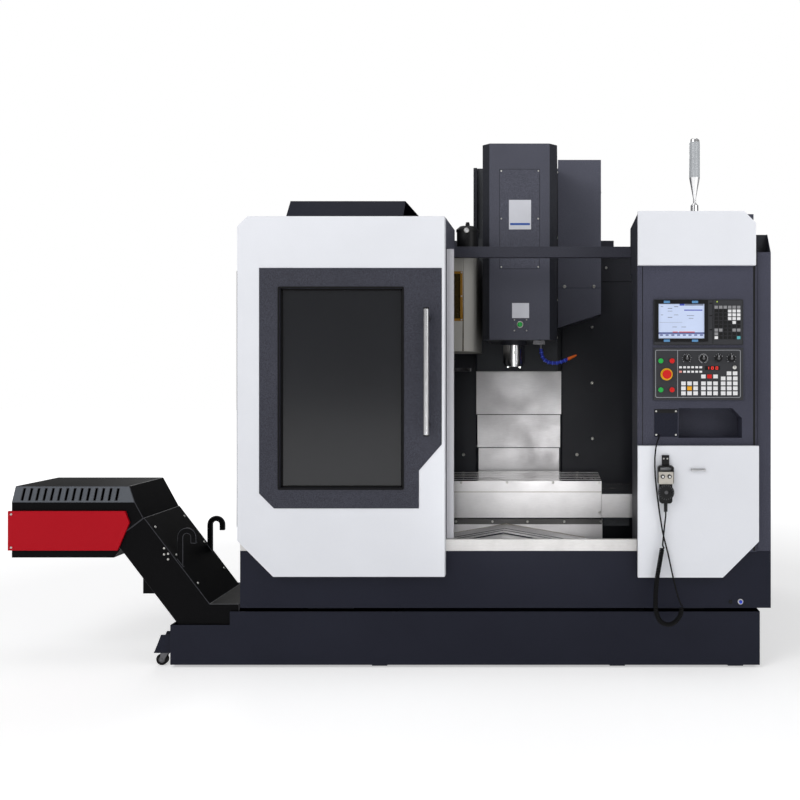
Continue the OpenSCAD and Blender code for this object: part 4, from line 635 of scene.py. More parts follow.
def makeOperatorPanel(v):
    low = span("operator_panel")[0]
    front = v.front
    keyFront = front - v.proud

    def keyField(x0, x1, z0, z1):
        return lambda m, n: m.y < keyFront and x0 <= m.x - low.x <= x1 and z0 <= m.z - low.z <= z1

    for finish, field in v.keyFields.items():
        repaint("operator_panel", finish, keyField(*field))
    stopX, stopZ = v.stop
    repaint("operator_panel", "yellowRing", lambda m, n: m.y < keyFront and
            math.hypot(m.x - low.x - stopX, m.z - low.z - stopZ) < v.stopRing)
    bm = bmesh.new()
    corners = [(low.x + x, low.z + z) for x, z in (v.frameLow, v.frameHigh)]
    addFrame(bm, *corners, front, v.line, v.lineDepth, v.frameCorner)
    divider = low.x + v.divider
    addBox(bm, (divider, front - v.lineDepth, corners[0][1]), (divider + v.line, front, corners[1][1]))
    depth, width = v.mark
    for x, first, last, count in v.dials:
        place = (low.x + x, front - depth / 2, low.z + v.dialZ)
        for i in range(count):
            angle = first + (last - first) * i / (count - 1)
            addBar(bm, place, (v.markLengths[i % 2], depth, width), angle, v.dialInner, 4)
    x, z, w, h = v.readout
    x, z = low.x + x, low.z + z
    glass = front - v.readoutDepth
    addBox(bm, (x, glass, z), (x + w, front, z + h), 0.4, 1)
    for i, strokes in enumerate(v.digits):
        addDigit(bm, x + v.digitFoot[0] + i * v.digitPitch, glass, z + v.digitFoot[1],
                 v.digitSize, strokes, v.digitDepth, 2)
    x, z = v.toggle
    addTurned(bm, (low.x + x, front, low.z + z), "-y", v.collar, 24, 3)
    addTurned(bm, (low.x + x, front - v.leverFoot, low.z + z), "-y", v.lever, 20, 3)
    finishPiece("operatorPanelMarks", bm, "linePaint blackPlastic digitRed screwSteel markPaint")


makeOperatorPanel(operatorPanel)

# Pale pointer on each rotary knob and a lit ring on each push button
knobMarks = Values(
    count=4, half=1.2, foot=3, gap=1.5, depth=0.5, bevel=0.2, cap=[(0, 0), (6, 0), (5.4, 0.8), (0, 1)],
    ring=[(0.3, 0), (0.5, 0), (0.48, 0.5), (0.32, 0.5), (0.3, 0)], sides=28,
)


def makeKnobMarks(v):
    for i in range(1, v.count + 1):
        body = "knob_" + str(i)
        low, high = span(body)
        middle = middleOf(body)
        bm = bmesh.new()
        addBox(bm, (middle.x - v.half, low.y - v.depth, middle.z + v.foot),
               (middle.x + v.half, low.y, high.z - v.gap), v.bevel)
        addTurned(bm, (middle.x, low.y, middle.z), "-y", v.cap, v.sides, 1)
        finishPiece("knobPointer" + str(i), bm, "markPaint greyPlastic", body)
        body = "button_" + str(i)
        low, high = span(body)
        middle = middleOf(body)
        bm = bmesh.new()
        ring = scaled(v.ring, (high.x - low.x) / 2, 1)
        addTurned(bm, (middle.x, low.y, middle.z), "-y", ring, v.sides)
        colour = "green" if i % 2 else "red"
        finishPiece("buttonRing" + str(i), bm, colour + "Cap", body)


makeKnobMarks(knobMarks)

# Display: picture on the screen, blue clips, key colours and the row of small keys
displayUnit = Values(
    screenLow=(684.5, 1484), screenHigh=(888.5, 1638), screenY=-28, screenDepth=0.6, barDepth=0.3,
    bars=[(0.46, 0.57, 0.0, 0.05, 1), (0.58, 0.98, 0.0, 0.05, 2), (0.56, 0.96, 0.165, 0.195, 1),
          (0.0, 1.0, 0.82, 0.875, 3), (0.31, 0.42, 0.80, 0.83, 4), (0.45, 0.79, 0.80, 0.83, 4),
          (0.05, 0.1, 0.07, 0.085, 2), (0.2, 0.3, 0.12, 0.14, 2), (0.34, 0.43, 0.07, 0.09, 2),
          (0.2, 0.3, 0.2, 0.215, 2), (0.05, 0.1, 0.31, 0.325, 2), (0.2, 0.3, 0.38, 0.4, 2),
          (0.34, 0.43, 0.31, 0.325, 2), (0.62, 0.78, 0.33, 0.345, 2), (0.66, 0.76, 0.41, 0.425, 2),
          (0.02, 0.52, 0.53, 0.537, 2), (0.3, 0.4, 0.66, 0.675, 2), (0.5, 0.6, 0.66, 0.675, 2)],
    softKeys=8, softKeyRow=(12, 18), softKeyInset=6,
    clips=[(x, z) for z in (1646.5, 1474) for x in (721, 846.6)], clip=(28, 3, 11), bezelY=-32,
    bezelRight=906, plateY=-26, plates=[((664, 1457), (926, 1656)), ((928, 1457), (1060, 1656))],
    plateLine=(1.2, 0.3, 2), sideKeys=(1641, 1586, 1523), sideKeyX=(912, 924), sideKey=(1.5, 2.5, 0.8),
    lamp=(946, 1648), lampShape=[(0, 0), (3, 0), (3, 1), (2, 2.2), (0, 2.6)], proud=0.2, keyLeft=933,
    keyBottom=1479.5, keyPitch=(20, 17),
    keyColours={
        "darkKey": [(c, r) for c in range(6) for r in range(9)],
        "greyKey": [(c, 8) for c in range(6)] + [(0, 2), (1, 2), (4, 2), (5, 2), (0, 1)],
        "whiteKey": [(c, r) for c in (3, 4, 5) for r in (5, 6, 7)] + [(4, 4), (0, 0)],
        "cyanKey": [(5, 0)],
    },
)


def makeDisplayUnit(v):
    plateY = v.plateY

    def keyCells(cells):
        def inside(m, n):
            cell = ((m.x - v.keyLeft) // v.keyPitch[0], (m.z - v.keyBottom) // v.keyPitch[1])
            return m.y < plateY - v.proud and m.x > v.keyLeft and cell in cells
        return inside

    for finish, cells in v.keyColours.items():
        repaint("display_unit", finish, keyCells(cells))
    repaint("display_unit", "blackPlastic", lambda m, n: m.y < v.screenY - v.proud and m.x < v.bezelRight)
    bm = bmesh.new()
    x0, z0 = v.screenLow
    x1, z1 = v.screenHigh
    front = v.screenY - v.screenDepth
    barFront = front - v.barDepth
    addBox(bm, (x0, front, z0), (x1, v.screenY, z1))
    for left, right, top, bottom, finish in v.bars:
        addBox(bm, (x0 + left * (x1 - x0), barFront, z1 - bottom * (z1 - z0)),
               (x0 + right * (x1 - x0), front, z1 - top * (z1 - z0)), 0, finish)
    step = (x1 - x0) / v.softKeys
    inset = v.softKeyInset
    foot, top = v.softKeyRow
    for i in range(v.softKeys):
        addBox(bm, (x0 + i * step + inset, barFront, z0 + foot),
               (x0 + (i + 1) * step - inset, front, z0 + top), 0, 3)
    w, depth, h = v.clip
    for x, z in v.clips:
        addBox(bm, (x - w / 2, v.bezelY - depth, z - h / 2), (x + w / 2, v.bezelY, z + h / 2), 2, 5)
    left, right = v.sideKeyX
    depth, half, bevel = v.sideKey
    for z in v.sideKeys:
        addBox(bm, (left, plateY - depth, z - half), (right, plateY, z + half), bevel, 6)
    x, z = v.lamp
    addTurned(bm, (x, plateY, z), "-y", v.lampShape, 20, 7)
    for low, high in v.plates:
        addFrame(bm, low, high, plateY, *v.plateLine, 6)
    finishPiece("displayPicture", bm, "screenGlow screenBlue screenGrey screenNavy screenRed blueClip "
                "blackPlastic lampGreen")


makeDisplayUnit(displayUnit)

# Spindle head cover: service panel, bare plates with a band, unclamp button and screws
headCover = Values(
    front=590, service=((-63, 1865), (140, 2372), 0, 1.4, 0.5, 0),
    serviceScrews=[(x, z) for x in (-55, 134) for z in (1873, 2120, 2364)], gap=1.6, gapDepth=0.3,
    plates=[((-16, 2065), (97, 2216), 1.4, 2.4, 0.3, 3), ((-10, 2087), (91, 2098), 2.4, 2.6, 0, 4),
            ((0, 1612), (87, 1689), 0, 1, 0.3, 3), ((2, 1538), (84, 1610), 0, 1.2, 0.4, 0)],
    button=(40.5, 1579), buttonRim=(1.2, [(0, 0), (18, 0), (18, 3), (16, 5), (13, 5), (13, 3), (0, 3)]),
    buttonCap=(4.2, [(0, 0), (12.5, 0), (12.5, 5), (10, 7), (0, 7.6)]),
    buttonScrews=[(x, z) for x in (12, 74) for z in (1548, 1603)], sideScrews=(1520, 1720, 2050, 2400),
    sideDepth=200,
)


def makeHeadCover(v):
    y = v.front
    bm = bmesh.new()
    for low, high, foot, top, bevel, finish in [v.service] + v.plates:
        addBox(bm, (low[0], y - top, low[1]), (high[0], y - foot, high[1]), bevel, finish)
    gap = v.gap
    low, high = [c - gap for c in v.service[0]], [c + gap for c in v.service[1]]
    addFrame(bm, low, high, y, gap, v.gapDepth, 0, 1)
    addScrews(bm, [(x, y - v.service[3], z) for x, z in v.serviceScrews], "-y", 4.5, 2.6, 2)
    x, z = v.button
    for (foot, shape), finish in ((v.buttonRim, 2), (v.buttonCap, 5)):
        addTurned(bm, (x, y - foot, z), "-y", shape, 36, finish)
    addScrews(bm, [(x, y - v.buttonRim[0], z) for x, z in v.buttonScrews], "-y", 4, 2.4, 2)
    low, high = span("head_cover")
    for side, axis in ((low.x, "-x"), (high.x, "x")):
        addScrews(bm, [(side, y + v.sideDepth, z) for z in v.sideScrews], axis, 6, 4, 2)
    # the service panel takes the head cover's lighter copy of the dark paint: painted light
    finishPiece("headCoverFittings", bm, "headPaint blackPlastic screwSteel platePale bandBlue greenCap",
                "head")


makeHeadCover(headCover)

# Bolts inside the enclosure, and the seam and bolts of the column's side cover
innerBolts = Values(
    splash=[(436, 1607), (436, 1273), (439, 942), (346, 846), (346, 736), (-331, 846), (-331, 730)],
    splashY=1400, side=[(271, 1830), (440, 1830)], sideY=1200, seamZ=1822, seam=(0.4, 1),
    edge=[(y, z) for y in (1250, 1560) for z in (2060, 2380)],
)


def makeInnerBolts(v):
    bm = bmesh.new()
    addScrews(bm, [(x, v.splashY, z) for x, z in v.splash], "-y", 9.5, 6)
    addScrews(bm, [(x, v.sideY, z) for x, z in v.side], "-y", 10, 6)
    low, high = span("column_side_cover")
    depth, half = v.seam
    addBox(bm, (low.x + 1, v.sideY - depth, v.seamZ - half), (high.x - 1, v.sideY, v.seamZ + half), 0, 1)
    addScrews(bm, [(high.x, y, z) for y, z in v.edge], "x", 7, 4)
    finishPiece("innerBolts", bm, "screwSteel blackPlastic")


makeInnerBolts(innerBolts)

# Table front with its groove and bolts, and the bolted bar on the saddle's plate, dark partly as painted
# shade under the table
tableFront = Values(
    y=550, half=500, bolts=(-257, -24, 209, 443), boltZ=775, grooveZ=728, groove=(0.4, 1.2),
    cornerBolt=(446, 626),
)
saddleBar = Values(y=572.5, low=561, high=589, thick=3, end=4, bolts=(-472, -285, -99, 80, 267, 454))


def makeTableFront(v):
    middle = middleOf("table").x
    depth, half = v.groove
    bm = bmesh.new()
    addBox(bm, (middle - v.half + 1, v.y - depth, v.grooveZ - half),
           (middle + v.half - 1, v.y, v.grooveZ + half), 0, 1)
    addScrews(bm, [(x, v.y, v.boltZ) for x in v.bolts], "-y", 6.5, 4)
    x, z = v.cornerBolt
    addScrews(bm, [(x, v.y, z)], "-y", 6, 4)
    finishPiece("tableBolts", bm, "screwSteel wiperRubber", "table")


def makeSaddleBar(v):
    low, high = span("y_cover_rear")
    front = v.y - v.thick
    bm = bmesh.new()
    addBox(bm, (low.x + v.end, front, v.low), (high.x - v.end, v.y, v.high), 0.6)
    addScrews(bm, [(x, front, (v.low + v.high) / 2) for x in v.bolts], "-y", 6.5, 4, 1)
    finishPiece("saddleBar", bm, "barSteel screwSteel", "saddle")


makeTableFront(tableFront)
makeSaddleBar(saddleBar)

# Scraper lips on the telescopic covers; the near-black lips are wipers that also draw the shadow line under
# each cover's step as painted shadow
coverLips = Values(
    ridgeX=-28, half=398, slope=10, yLip=(2.4, 5), yShift=(1, 2.6),
    yLips=[("yLipJoint", "saddle", 565.5, 569, "wiperRubber"),
           # the fold lips stand for the steps of cover sections that are not built: painted shadow lines
           ("yLipFold", "saddle", 566, 420, "lipRubber"),
           ("yLipSecondFold", "saddle", 566, 362, "lipRubber"),
           ("yLipRear", "saddle", 564, 302.5, "lipRubber"),
           ("yLipMiddle", "y_middle", 558, 173.75, "lipRubber")],
    zLips=[("zLipUpper", "head", 1088), ("zLipMiddle", "z_middle", 891), ("zLipLower", "z_lower", 694)],
    zFront=1369.7, zHalf=252, zDepth=(0.3, 5), zHeight=(-4, 0.2), step=6,
)


def makeCoverLips(v):
    length = v.half / math.cos(math.radians(v.slope))
    forward, drop = v.yShift
    for name, body, ridge, y, finish in v.yLips:
        bm = bmesh.new()
        for angle in (-v.slope, 180 + v.slope):
            addBar(bm, (v.ridgeX, y - forward, ridge - drop), (length, *v.yLip), angle)
        finishPiece(name, bm, finish, body)
    # each z lip sits under a cover's hem: a wiper, dark also as painted shadow under the hem
    for i, (name, body, z) in enumerate(v.zLips):
        half = v.zHalf - i * v.step
        front = v.zFront + i * v.step
        bm = bmesh.new()
        addBox(bm, (-half + 1, front + v.zDepth[0], z + v.zHeight[0]),
               (half - 1, front + v.zDepth[1], z + v.zHeight[1]), 0.6)
        finishPiece(name, bm, "lipRubber", body)


makeCoverLips(coverLips)

# Door: gaskets round the glass, handle roses and ferrules, screws in the roof box
doorTrim = Values(
    windowLow=(-1000, 819), windowHigh=(-454.5, 1706), gaskets=[(7, -52, 7, 2.5, 6), (0.1, -30, 9, 6, 3)],
    handle=(-342, -97), face=-52, posts=(1100, 1569),
    rose=[(0, 0), (13, 0), (13, 2), (11, 4), (8.2, 4.5), (8.2, 12), (0, 12)],
    ends={"-z": 1055, "z": 1614}, ferrule=[(0, -3), (13, -3), (13, 1), (11, 3), (0, 3.4)], sides=40,
    roofScrews=[(y, 1990) for y in (40, 180, 320)],
)


def makeDoorTrim(v):
    bm = bmesh.new()
    for grow, *shape in v.gaskets:
        addFrame(bm, [c - grow for c in v.windowLow], [c + grow for c in v.windowHigh], *shape)
    x, y = v.handle
    for z in v.posts:
        addTurned(bm, (x, v.face, z), "-y", v.rose, v.sides, 1)
    for axis, z in v.ends.items():
        addTurned(bm, (x, y, z), axis, v.ferrule, v.sides, 1)
    side = span("door_fascia")[1].x
    addScrews(bm, [(side, y, z) for y, z in v.roofScrews], "x", 4.5, 3, 2)
    finishPiece("doorTrim", bm, "rubber blackPlastic darkSteel", "door")


makeDoorTrim(doorTrim)

# Drain fitting and hole in the apron, seams of the cabinet, dark band on the cord's outlet plate
apronFitting = Values(
    drain=(1055, 304), collar=(0, [(0, 0), (12, 0), (12, 4), (10.5, 6), (8, 6), (8, 4), (0, 4)]),
    plug=(-4, [(0, 0), (7.6, 0), (7.6, 8), (6, 10), (0, 10.4)]), hole=(1011, 0, 303),
    holeRim=[(0, 0), (9, 0), (9, 1), (6.5, 1.4), (6.5, 0.4), (0, 0.4)], cabinetY=-20, seamDepth=0.4,
    seams=[(614, 1.6, 6, 1898), (1113, 5, 4, 1892)],
    plateTop=((667.2, -22.4, 1151.6), (769.8, -22, 1167.8)),
)


def makeApronFitting(v):
    bm = bmesh.new()
    x, z = v.drain
    for finish, (y, shape) in enumerate((v.collar, v.plug)):
        addTurned(bm, (x, y, z), "-y", shape, 36, finish)
    addTurned(bm, v.hole, "-y", v.holeRim, 30, 2)
    y = v.cabinetY
    foot = span("control_cabinet")[0].z
    for x, half, rise, top in v.seams:
        addBox(bm, (x - half, y - v.seamDepth, foot + rise), (x + half, y, top), 0, 2)
    addBox(bm, *v.plateTop, 0, 2)
    finishPiece("apronFitting", bm, "whiteKey plugBlue blackPlastic")


makeApronFitting(apronFitting)

# Hand pendant: steel face plate, dial marks and screws on its tab, marks on the wheel
pendant = Values(
    x=712, front=-82, plate=(840, 894), plateHalf=32, plateDepth=0.8, knobs=(-15, 15), knobZ=874,
    knobMarks=7, knobMark=(3, 0.3, 0.9), knobMarkY=0.9, knobMarkStep=30, knobMarkInner=10.2,
    knobCap=(8, [(0, 0), (7.5, 0), (7.2, 5), (6, 6), (0, 6.2)]),
    knobTop=(14, [(0, 0), (5, 0), (4.4, 1), (0, 1.2)]), tab=[(x, -64, 951) for x in (704, 720)],
    wheelZ=805, wheelFront=-94.3, wheelMarks=20, wheelMark=(4, 0.3, 0.8), wheelMarkY=0.1, wheelMarkInner=29,
    hub=[(0, 0), (8, 0), (7, 1.6), (0, 2)],
)


def makePendant(v):
    x, front = v.x, v.front
    bottom, top = v.plate
    bm = bmesh.new()
    addBox(bm, (x - v.plateHalf, front - v.plateDepth, bottom), (x + v.plateHalf, front, top), 0.3)
    for side in v.knobs:
        for i in range(v.knobMarks):
            addBar(bm, (x + side, front - v.knobMarkY, v.knobZ), v.knobMark, 180 - v.knobMarkStep * i,
                   v.knobMarkInner, 1)
        for finish, (foot, shape) in ((1, v.knobCap), (2, v.knobTop)):
            addTurned(bm, (x + side, front - foot, v.knobZ), "-y", shape, 24, finish)
    addScrews(bm, v.tab, "-y", 4, 2.5, 3)
    finishPiece("pendantFace", bm, "faceSteel blackPlastic whiteKey screwSteel")
    bm = bmesh.new()
    for i in range(v.wheelMarks):
        addBar(bm, (x, v.wheelFront - v.wheelMarkY, v.wheelZ), v.wheelMark, 360 / v.wheelMarks * i,
               v.wheelMarkInner)
    addTurned(bm, (x, v.wheelFront, v.wheelZ), "-y", v.hub, 24, 1)
    finishPiece("pendantWheelMarks", bm, "linePaint greyPlastic", "pendant_wheel")


makePendant(pendant)

# Magazine window with its frame, gauge and nut of the oil canister
magazineWindow = Values(
    frame=9, right=60, width=150, height=230, up=160, paneDepth=(1, 14), paneGrow=14, frameDepth=3,
    gaugeZ=2035, gaugeRim=(0, [(0, 0), (12.5, 0), (12.5, 3), (10.5, 3), (10.5, 1), (0, 1)]),
    gaugeFace=(1, [(0, 0), (10.3, 0), (10.3, 0.6), (0, 0.6)]), needle=(8, 0.4, 1), needleAngle=60,
    needleY=1.8, screwOut=3, nut=(9, 9), nutBack=1.5, facing=0.9,
)


def makeMagazineWindow(v):
    low, high = span("magazine_cover")
    x1 = high.x - v.right
    x0 = x1 - v.width
    z0 = low.z + v.up
    z1 = z0 + v.height
    near, far = v.paneDepth
    grow = v.paneGrow
    repaint("magazine_cover", "amberWindow", lambda m, n: low.y + near < m.y < low.y + far and
            x0 - grow < m.x < x1 + grow and z0 - grow < m.z < z1 + grow and abs(n.y) > v.facing)
    bm = bmesh.new()
    rim, depth = v.frame, v.frameDepth
    addFrame(bm, (x0 - rim, z0 - rim), (x1 + rim, z1 + rim), low.y, rim + depth, depth, 3)
    columns = (x0 - v.screwOut, x1 + v.screwOut)
    rows = (z0 - v.screwOut, (z0 + z1) / 2, z1 + v.screwOut)
    addScrews(bm, [(x, low.y - depth, z) for x in columns for z in rows], "-y", 4, 2.5, 1)
    canLow, canHigh = span("oil_canister")
    x, y, _ = middleOf("oil_canister")
    for finish, (forward, shape) in ((1, v.gaugeRim), (2, v.gaugeFace)):
        addTurned(bm, (x, canLow.y - forward, v.gaugeZ), "-y", shape, 32, finish)
    addBar(bm, (x, canLow.y - v.needleY, v.gaugeZ), v.needle, v.needleAngle, 0, 3)
    addNut(bm, (x, y + v.nutBack, canHigh.z), *v.nut, 3)
    finishPiece("magazineWindowFrame", bm, "amberFrame screwSteel whiteKey blackPlastic")


makeMagazineWindow(magazineWindow)

# Bolts of the chip conveyor on its front, along its incline, round the red panel and on the hood
conveyorBolts = Values(
    frontY=30, front=[(-1545, 538), (-1545, 510), (-1527, 513), (-1527, 488)], redInset=(16, 14),
    inclineFoot=(-1339, 286), inclineStep=(-0.606, 0.7955), inclineTilt=52.7, incline=(109, 270, 430),
    rows=(62, 398), hoodFoot=24, hoodEndTop=60, hoodBackX=(40, 180), hoodBackTop=30,
)


def makeConveyorBolts(v):
    bm = bmesh.new()
    addScrews(bm, [(x, v.frontY, z) for x, z in v.front], "-y", 5.5, 4)
    low, high = span("discharge_panel")
    inX, inZ = v.redInset
    addScrews(bm, [(low.x + inX, low.y, z) for z in (low.z + inZ, high.z - inZ)], "-y", 5.5, 3.5)
    (footX, footZ), (stepX, stepZ) = v.inclineFoot, v.inclineStep
    places = [(footX + t * stepX, y, footZ + t * stepZ) for t in v.incline for y in v.rows]
    addScrews(bm, places, rotation(v.inclineTilt, "Y"), 6.5, 4.5)
    low, high = span("discharge_hood")
    heights = (low.z + v.hoodFoot, high.z - v.hoodEndTop)
    addScrews(bm, [(low.x, y, z) for y in v.rows for z in heights], "-x", 6, 4)
    heights = (low.z + v.hoodFoot, high.z - v.hoodBackTop)
    addScrews(bm, [(low.x + x, high.y, z) for x in v.hoodBackX for z in heights], "y", 6, 4)
    finishPiece("conveyorBolts", bm, "screwSteel")


makeConveyorBolts(conveyorBolts)

# Doors of the rear cabinet with louvres, latches and hinges
rearDoors = Values(
    rim=46, gap=5, inset=6, thick=4, louvres=9, louvre=(200, 6, 9), louvreSink=1, louvrePitch=24,
    louvreEnd=120, bevels=(2, 3.5, 1), latchX=60, latchZ=260,
    latch=[(0, 0), (16, 0), (16, 3), (13, 5), (9, 5), (9, 2), (0, 2)],
    key=(2, 2, 7, 8), hingeEnd=160, hingeHalf=35,
    hinge=[(0, 0), (6, 0), (6, 34), (5.4, 35), (6, 36), (6, 70), (0, 70)],
)


def makeRearDoors(v):
    low, high = span("rear_cabinet")
    back = high.y - v.inset
    face = back + v.thick
    z0, z1 = low.z + v.rim, high.z - v.rim
    middleX, middleZ = (low.x + high.x) / 2, (z0 + z1) / 2
    width, depth, height = v.louvre
    sunk = face - v.louvreSink
    doorBevel, louvreBevel, keyBevel = v.bevels
    half, foot, top, rise = v.key
    bm = bmesh.new()
    doors = [(low.x + v.rim, middleX - v.gap / 2, -1), (middleX + v.gap / 2, high.x - v.rim, 1)]
    for x0, x1, side in doors:
        addBox(bm, (x0, back, z0), (x1, face, z1), doorBevel)
        centre = (x0 + x1) / 2
        for base in (z0 + v.louvreEnd, z1 - v.louvreEnd - v.louvres * v.louvrePitch):
            for i in range(v.louvres):
                z = base + i * v.louvrePitch
                addBox(bm, (centre - width / 2, sunk, z), (centre + width / 2, sunk + depth, z + height),
                       louvreBevel)
        x = middleX + side * v.latchX
        for z in (middleZ - v.latchZ, middleZ + v.latchZ):
            addTurned(bm, (x, face, z), "y", v.latch, 32, 1)
            addBox(bm, (x - half, face + foot, z - rise), (x + half, face + top, z + rise), keyBevel, 1)
        edge = x0 if side < 0 else x1
        for z in (z0 + v.hingeEnd, middleZ, z1 - v.hingeEnd):
            addTurned(bm, (edge, face, z - v.hingeHalf), "z", v.hinge, 20, 1)
    finishPiece("rearDoors", bm, "darkPaint screwSteel")


makeRearDoors(rearDoors)

# Thin sheets: door post sleeve, plate above the right splash wall, bolted panels, pillar strip, sill end
# Finish, slot, boxes with their bevel, and a row of screws where there is one
sheets = {
    "postSleeve": ("postPaint", "white_paint", [((-267.5, 25, 532), (-235.4, 42.5, 1890), 1.2),
                                                ((-256, 23.8, 532), (-247, 25.2, 1890), 0.6)]),
    # the plate above the splash wall, the column panel and the pillar strip take the darker copy of the dark
    # paint: painted shade
    "splashTopPlate": ("innerPaint", "dark_paint", [((440, 1394, 1880), (1080, 1400, 2028), 0.8),
                                                    ((440, 1380, 2022), (1080, 1400, 2028), 0.8)],
                       [(x, 1394, 1960) for x in (520, 760, 1000)], "-y", 8, 5),
    "sidePanel": ("navyPaint", "dark_paint", [((-1229, 62, 628), (-1212, 1000, 1797), 3)],
                  [(-1229, y, z) for y in (84, 531, 978) for z in (650, 1212, 1775)], "-x", 7, 4),
    "columnPanel": ("innerPaint", "dark_paint", [((-272, 1402, 1450), (-250, 1990, 2558), 2)],
                    [(-272, y, z) for y in (1440, 1950) for z in (1500, 2000, 2520)], "-x", 7, 4),
    "pillarTop": ("innerPaint", "dark_paint", [((1125, 78, 1840), (1190.5, 90, 1962), 0.8)]),
    "sillEnd": ("sheetSteel", "stainless", [((-1191.5, -0.8, 531.5), (-1128, 0, 582.5), 0.2)]),
}


def makeSheets(v):
    for name, (paints, slot, boxes, *screws) in v.items():
        bm = bmesh.new()
        for box in boxes:
            addBox(bm, *box)
        if screws:
            addScrews(bm, *screws, 1)
            paints += " screwSteel"
        finishPiece(name, bm, paints)


makeSheets(sheets)

# Nuts on the levelling feet, screws in the side walls, hub caps on the casters
fixings = Values(
    feet=[(x, y, 30) for x in (-340, 340) for y in (300, 1130, 1900)], nut=(44, 26),
    wallY=(120, 700, 1280, 1860), leftY=1280, wallZ=(540, 1240, 1760),
    hub=[(5, 0), (15, 0), (14, 1.2), (5, 1.6), (5, 0)],
)


def makeFixings(v):
    bm = bmesh.new()
    for place in v.feet:
        addNut(bm, place, *v.nut)
    low, high = span("side_walls")
    addScrews(bm, [(high.x, y, z) for y in v.wallY for z in v.wallZ], "x", 7, 4)
    addScrews(bm, [(low.x, v.leftY, z) for z in v.wallZ], "-x", 7, 4)
    finishPiece("fixings", bm, "screwSteel")
    for end in ("front", "rear"):
        low, high = span("caster_wheel_" + end)
        middle = middleOf("caster_wheel_" + end)
        bm = bmesh.new()
        for y, axis in ((low.y, "-y"), (high.y, "y")):
            addTurned(bm, (middle.x, y, middle.z), axis, v.hub)
        finishPiece("casterHub" + end.capitalize(), bm, "greyPlastic", "wheel_" + end)


makeFixings(fixings)

# Raised rings at the joints of the coolant hose, in a paler blue than the hose as a painted highlight on each
# bead
hoseRings = Values(
    y=720,
    route=[(145, 1461), (147, 1439), (153, 1417), (165, 1399), (184, 1388), (206, 1384), (228, 1384),
           (250, 1389), (270, 1397), (288, 1405)],
    profile=[(9, -2.5), (10.7, -2.5), (11.2, 0), (10.7, 2.5), (9, 2.5), (9, -2.5)],
)


def makeHoseRings(v):
    points = [Vector((x, v.y, z)) for x, z in v.route]
    bm = bmesh.new()
    for before, point, after in zip(points, points[1:], points[2:]):
        turn = Vector((0, 0, 1)).rotation_difference(after - before).to_matrix()
        addTurned(bm, point, turn, v.profile, 28)
    finishPiece("hoseRings", bm, "ringBlue", "head")


makeHoseRings(hoseRings)

# Second finishes on single nodes, by the middle and the normal of a face
secondFinishes = Values(
    lensFoot=span("signal_light")[1].z - 178, lensTop=span("signal_light")[1].z - 16,
    latch=(824, 891, 892, 908), cabinetSide=592, roofBox=1900, tableTop=700, plate=(-22.2, -20.2, 780),
    nozzle=span("coolant_hose")[1].x - 48, hoseFitting=span("coolant_hose")[1].z - 42, pillar=1100,
    panFoot=300, cartridgeTop=1466, square=0.9, sideways=0.5, slanting=0.2,
)


def makeSecondFinishes(v):
    square = v.square
    x0, x1, z0, z1 = v.latch
    front, back, right = v.plate
    # the hood's faces that slant up and forward take the paler blue-grey: painted light
    repaint("discharge_hood", "ventPaint", lambda m, n: n.y < -v.slanting and n.z > v.slanting)
    repaint("signal_light", "polished", lambda m, n: not v.lensFoot < m.z < v.lensTop)
    repaint("white_front_panels", "handleSteel", lambda m, n: x0 < m.x < x1 and z0 < m.z < z1)
    # the cabinet's left side takes the darker copy of the dark paint: painted shade
    repaint("control_cabinet", "innerPaint", lambda m, n: n.x < -square and m.x < v.cabinetSide)
    # the roof box's right side takes the lighter copy of the dark paint: painted light
    repaint("door_fascia", "headPaint", lambda m, n: n.x > square and m.z > v.roofBox)
    repaint("table", "mirrorSteel", lambda m, n: n.z > square and m.z > v.tableTop)
    repaint("x_covers_inner", "mirrorSteel", lambda m, n: n.z > square)
    repaint("control_cabinet", "navyPaint", lambda m, n: front < m.y < back and m.x < right)
    repaint("control_cabinet", "screwSteel", lambda m, n: m.y < front)
    # the head cover's sides take the darker copy of the dark paint: painted shade
    repaint("head_cover", "innerPaint", lambda m, n: abs(n.x) > v.sideways)
    repaint("coolant_hose", "hoseOrange", lambda m, n: m.x > v.nozzle)
    repaint("coolant_hose", "darkSteel", lambda m, n: m.z > v.hoseFitting)
    repaint("side_walls", "cabinetPaint", lambda m, n: n.y < -square and m.x > v.pillar)
    # the chip pan is darker towards the bottom: painted shade
    repaint("chip_pan", "innerPaint", lambda m, n: m.z < v.panFoot)
    # the spindle cartridge is dark where it runs up into the head: painted shade
    repaint("spindle_cartridge", "innerPaint", lambda m, n: m.z > v.cartridgeTop)


makeSecondFinishes(secondFinishes)
print("details made")

# Softened edges on the sheet-metal and cast pieces, with a paler paint on the conveyor's wider bevels as a
# painted highlight along its edges
softEdges = Values(
    weld=0.00002, width=0.0012, segments=2, limit=35, wornWidth=0.0025,
    worn="conveyor_housing discharge_hood",
    nodes="door_panel white_front_panels door_fascia control_cabinet head_cover header_beam roof_hood "
          "front_apron coolant_tank conveyor_housing discharge_hood discharge_panel column_side_cover "
          "table door_sill left_front_panel z_cover_upper z_cover_middle z_cover_lower y_cover_rear "
          "rear_cabinet side_walls pendant_body",
)


def softenEdges(v):
    for name in v.nodes.split():
        weld = nodes[name].modifiers.new("weld", "WELD")
        weld.merge_threshold = v.weld
        bevel = nodes[name].modifiers.new("softEdge", "BEVEL")
        bevel.width = v.width
        bevel.segments = v.segments
        bevel.limit_method = "ANGLE"
        bevel.angle_limit = math.radians(v.limit)
        # the conveyor's bevels are wider and take the paler paint: painted highlight along its edges
        if name in v.worn.split():
            nodes[name].data.materials.append(finishes["edgePaint"])
            bevel.material = len(nodes[name].data.materials) - 1
            bevel.width = v.wornWidth


softenEdges(softEdges)

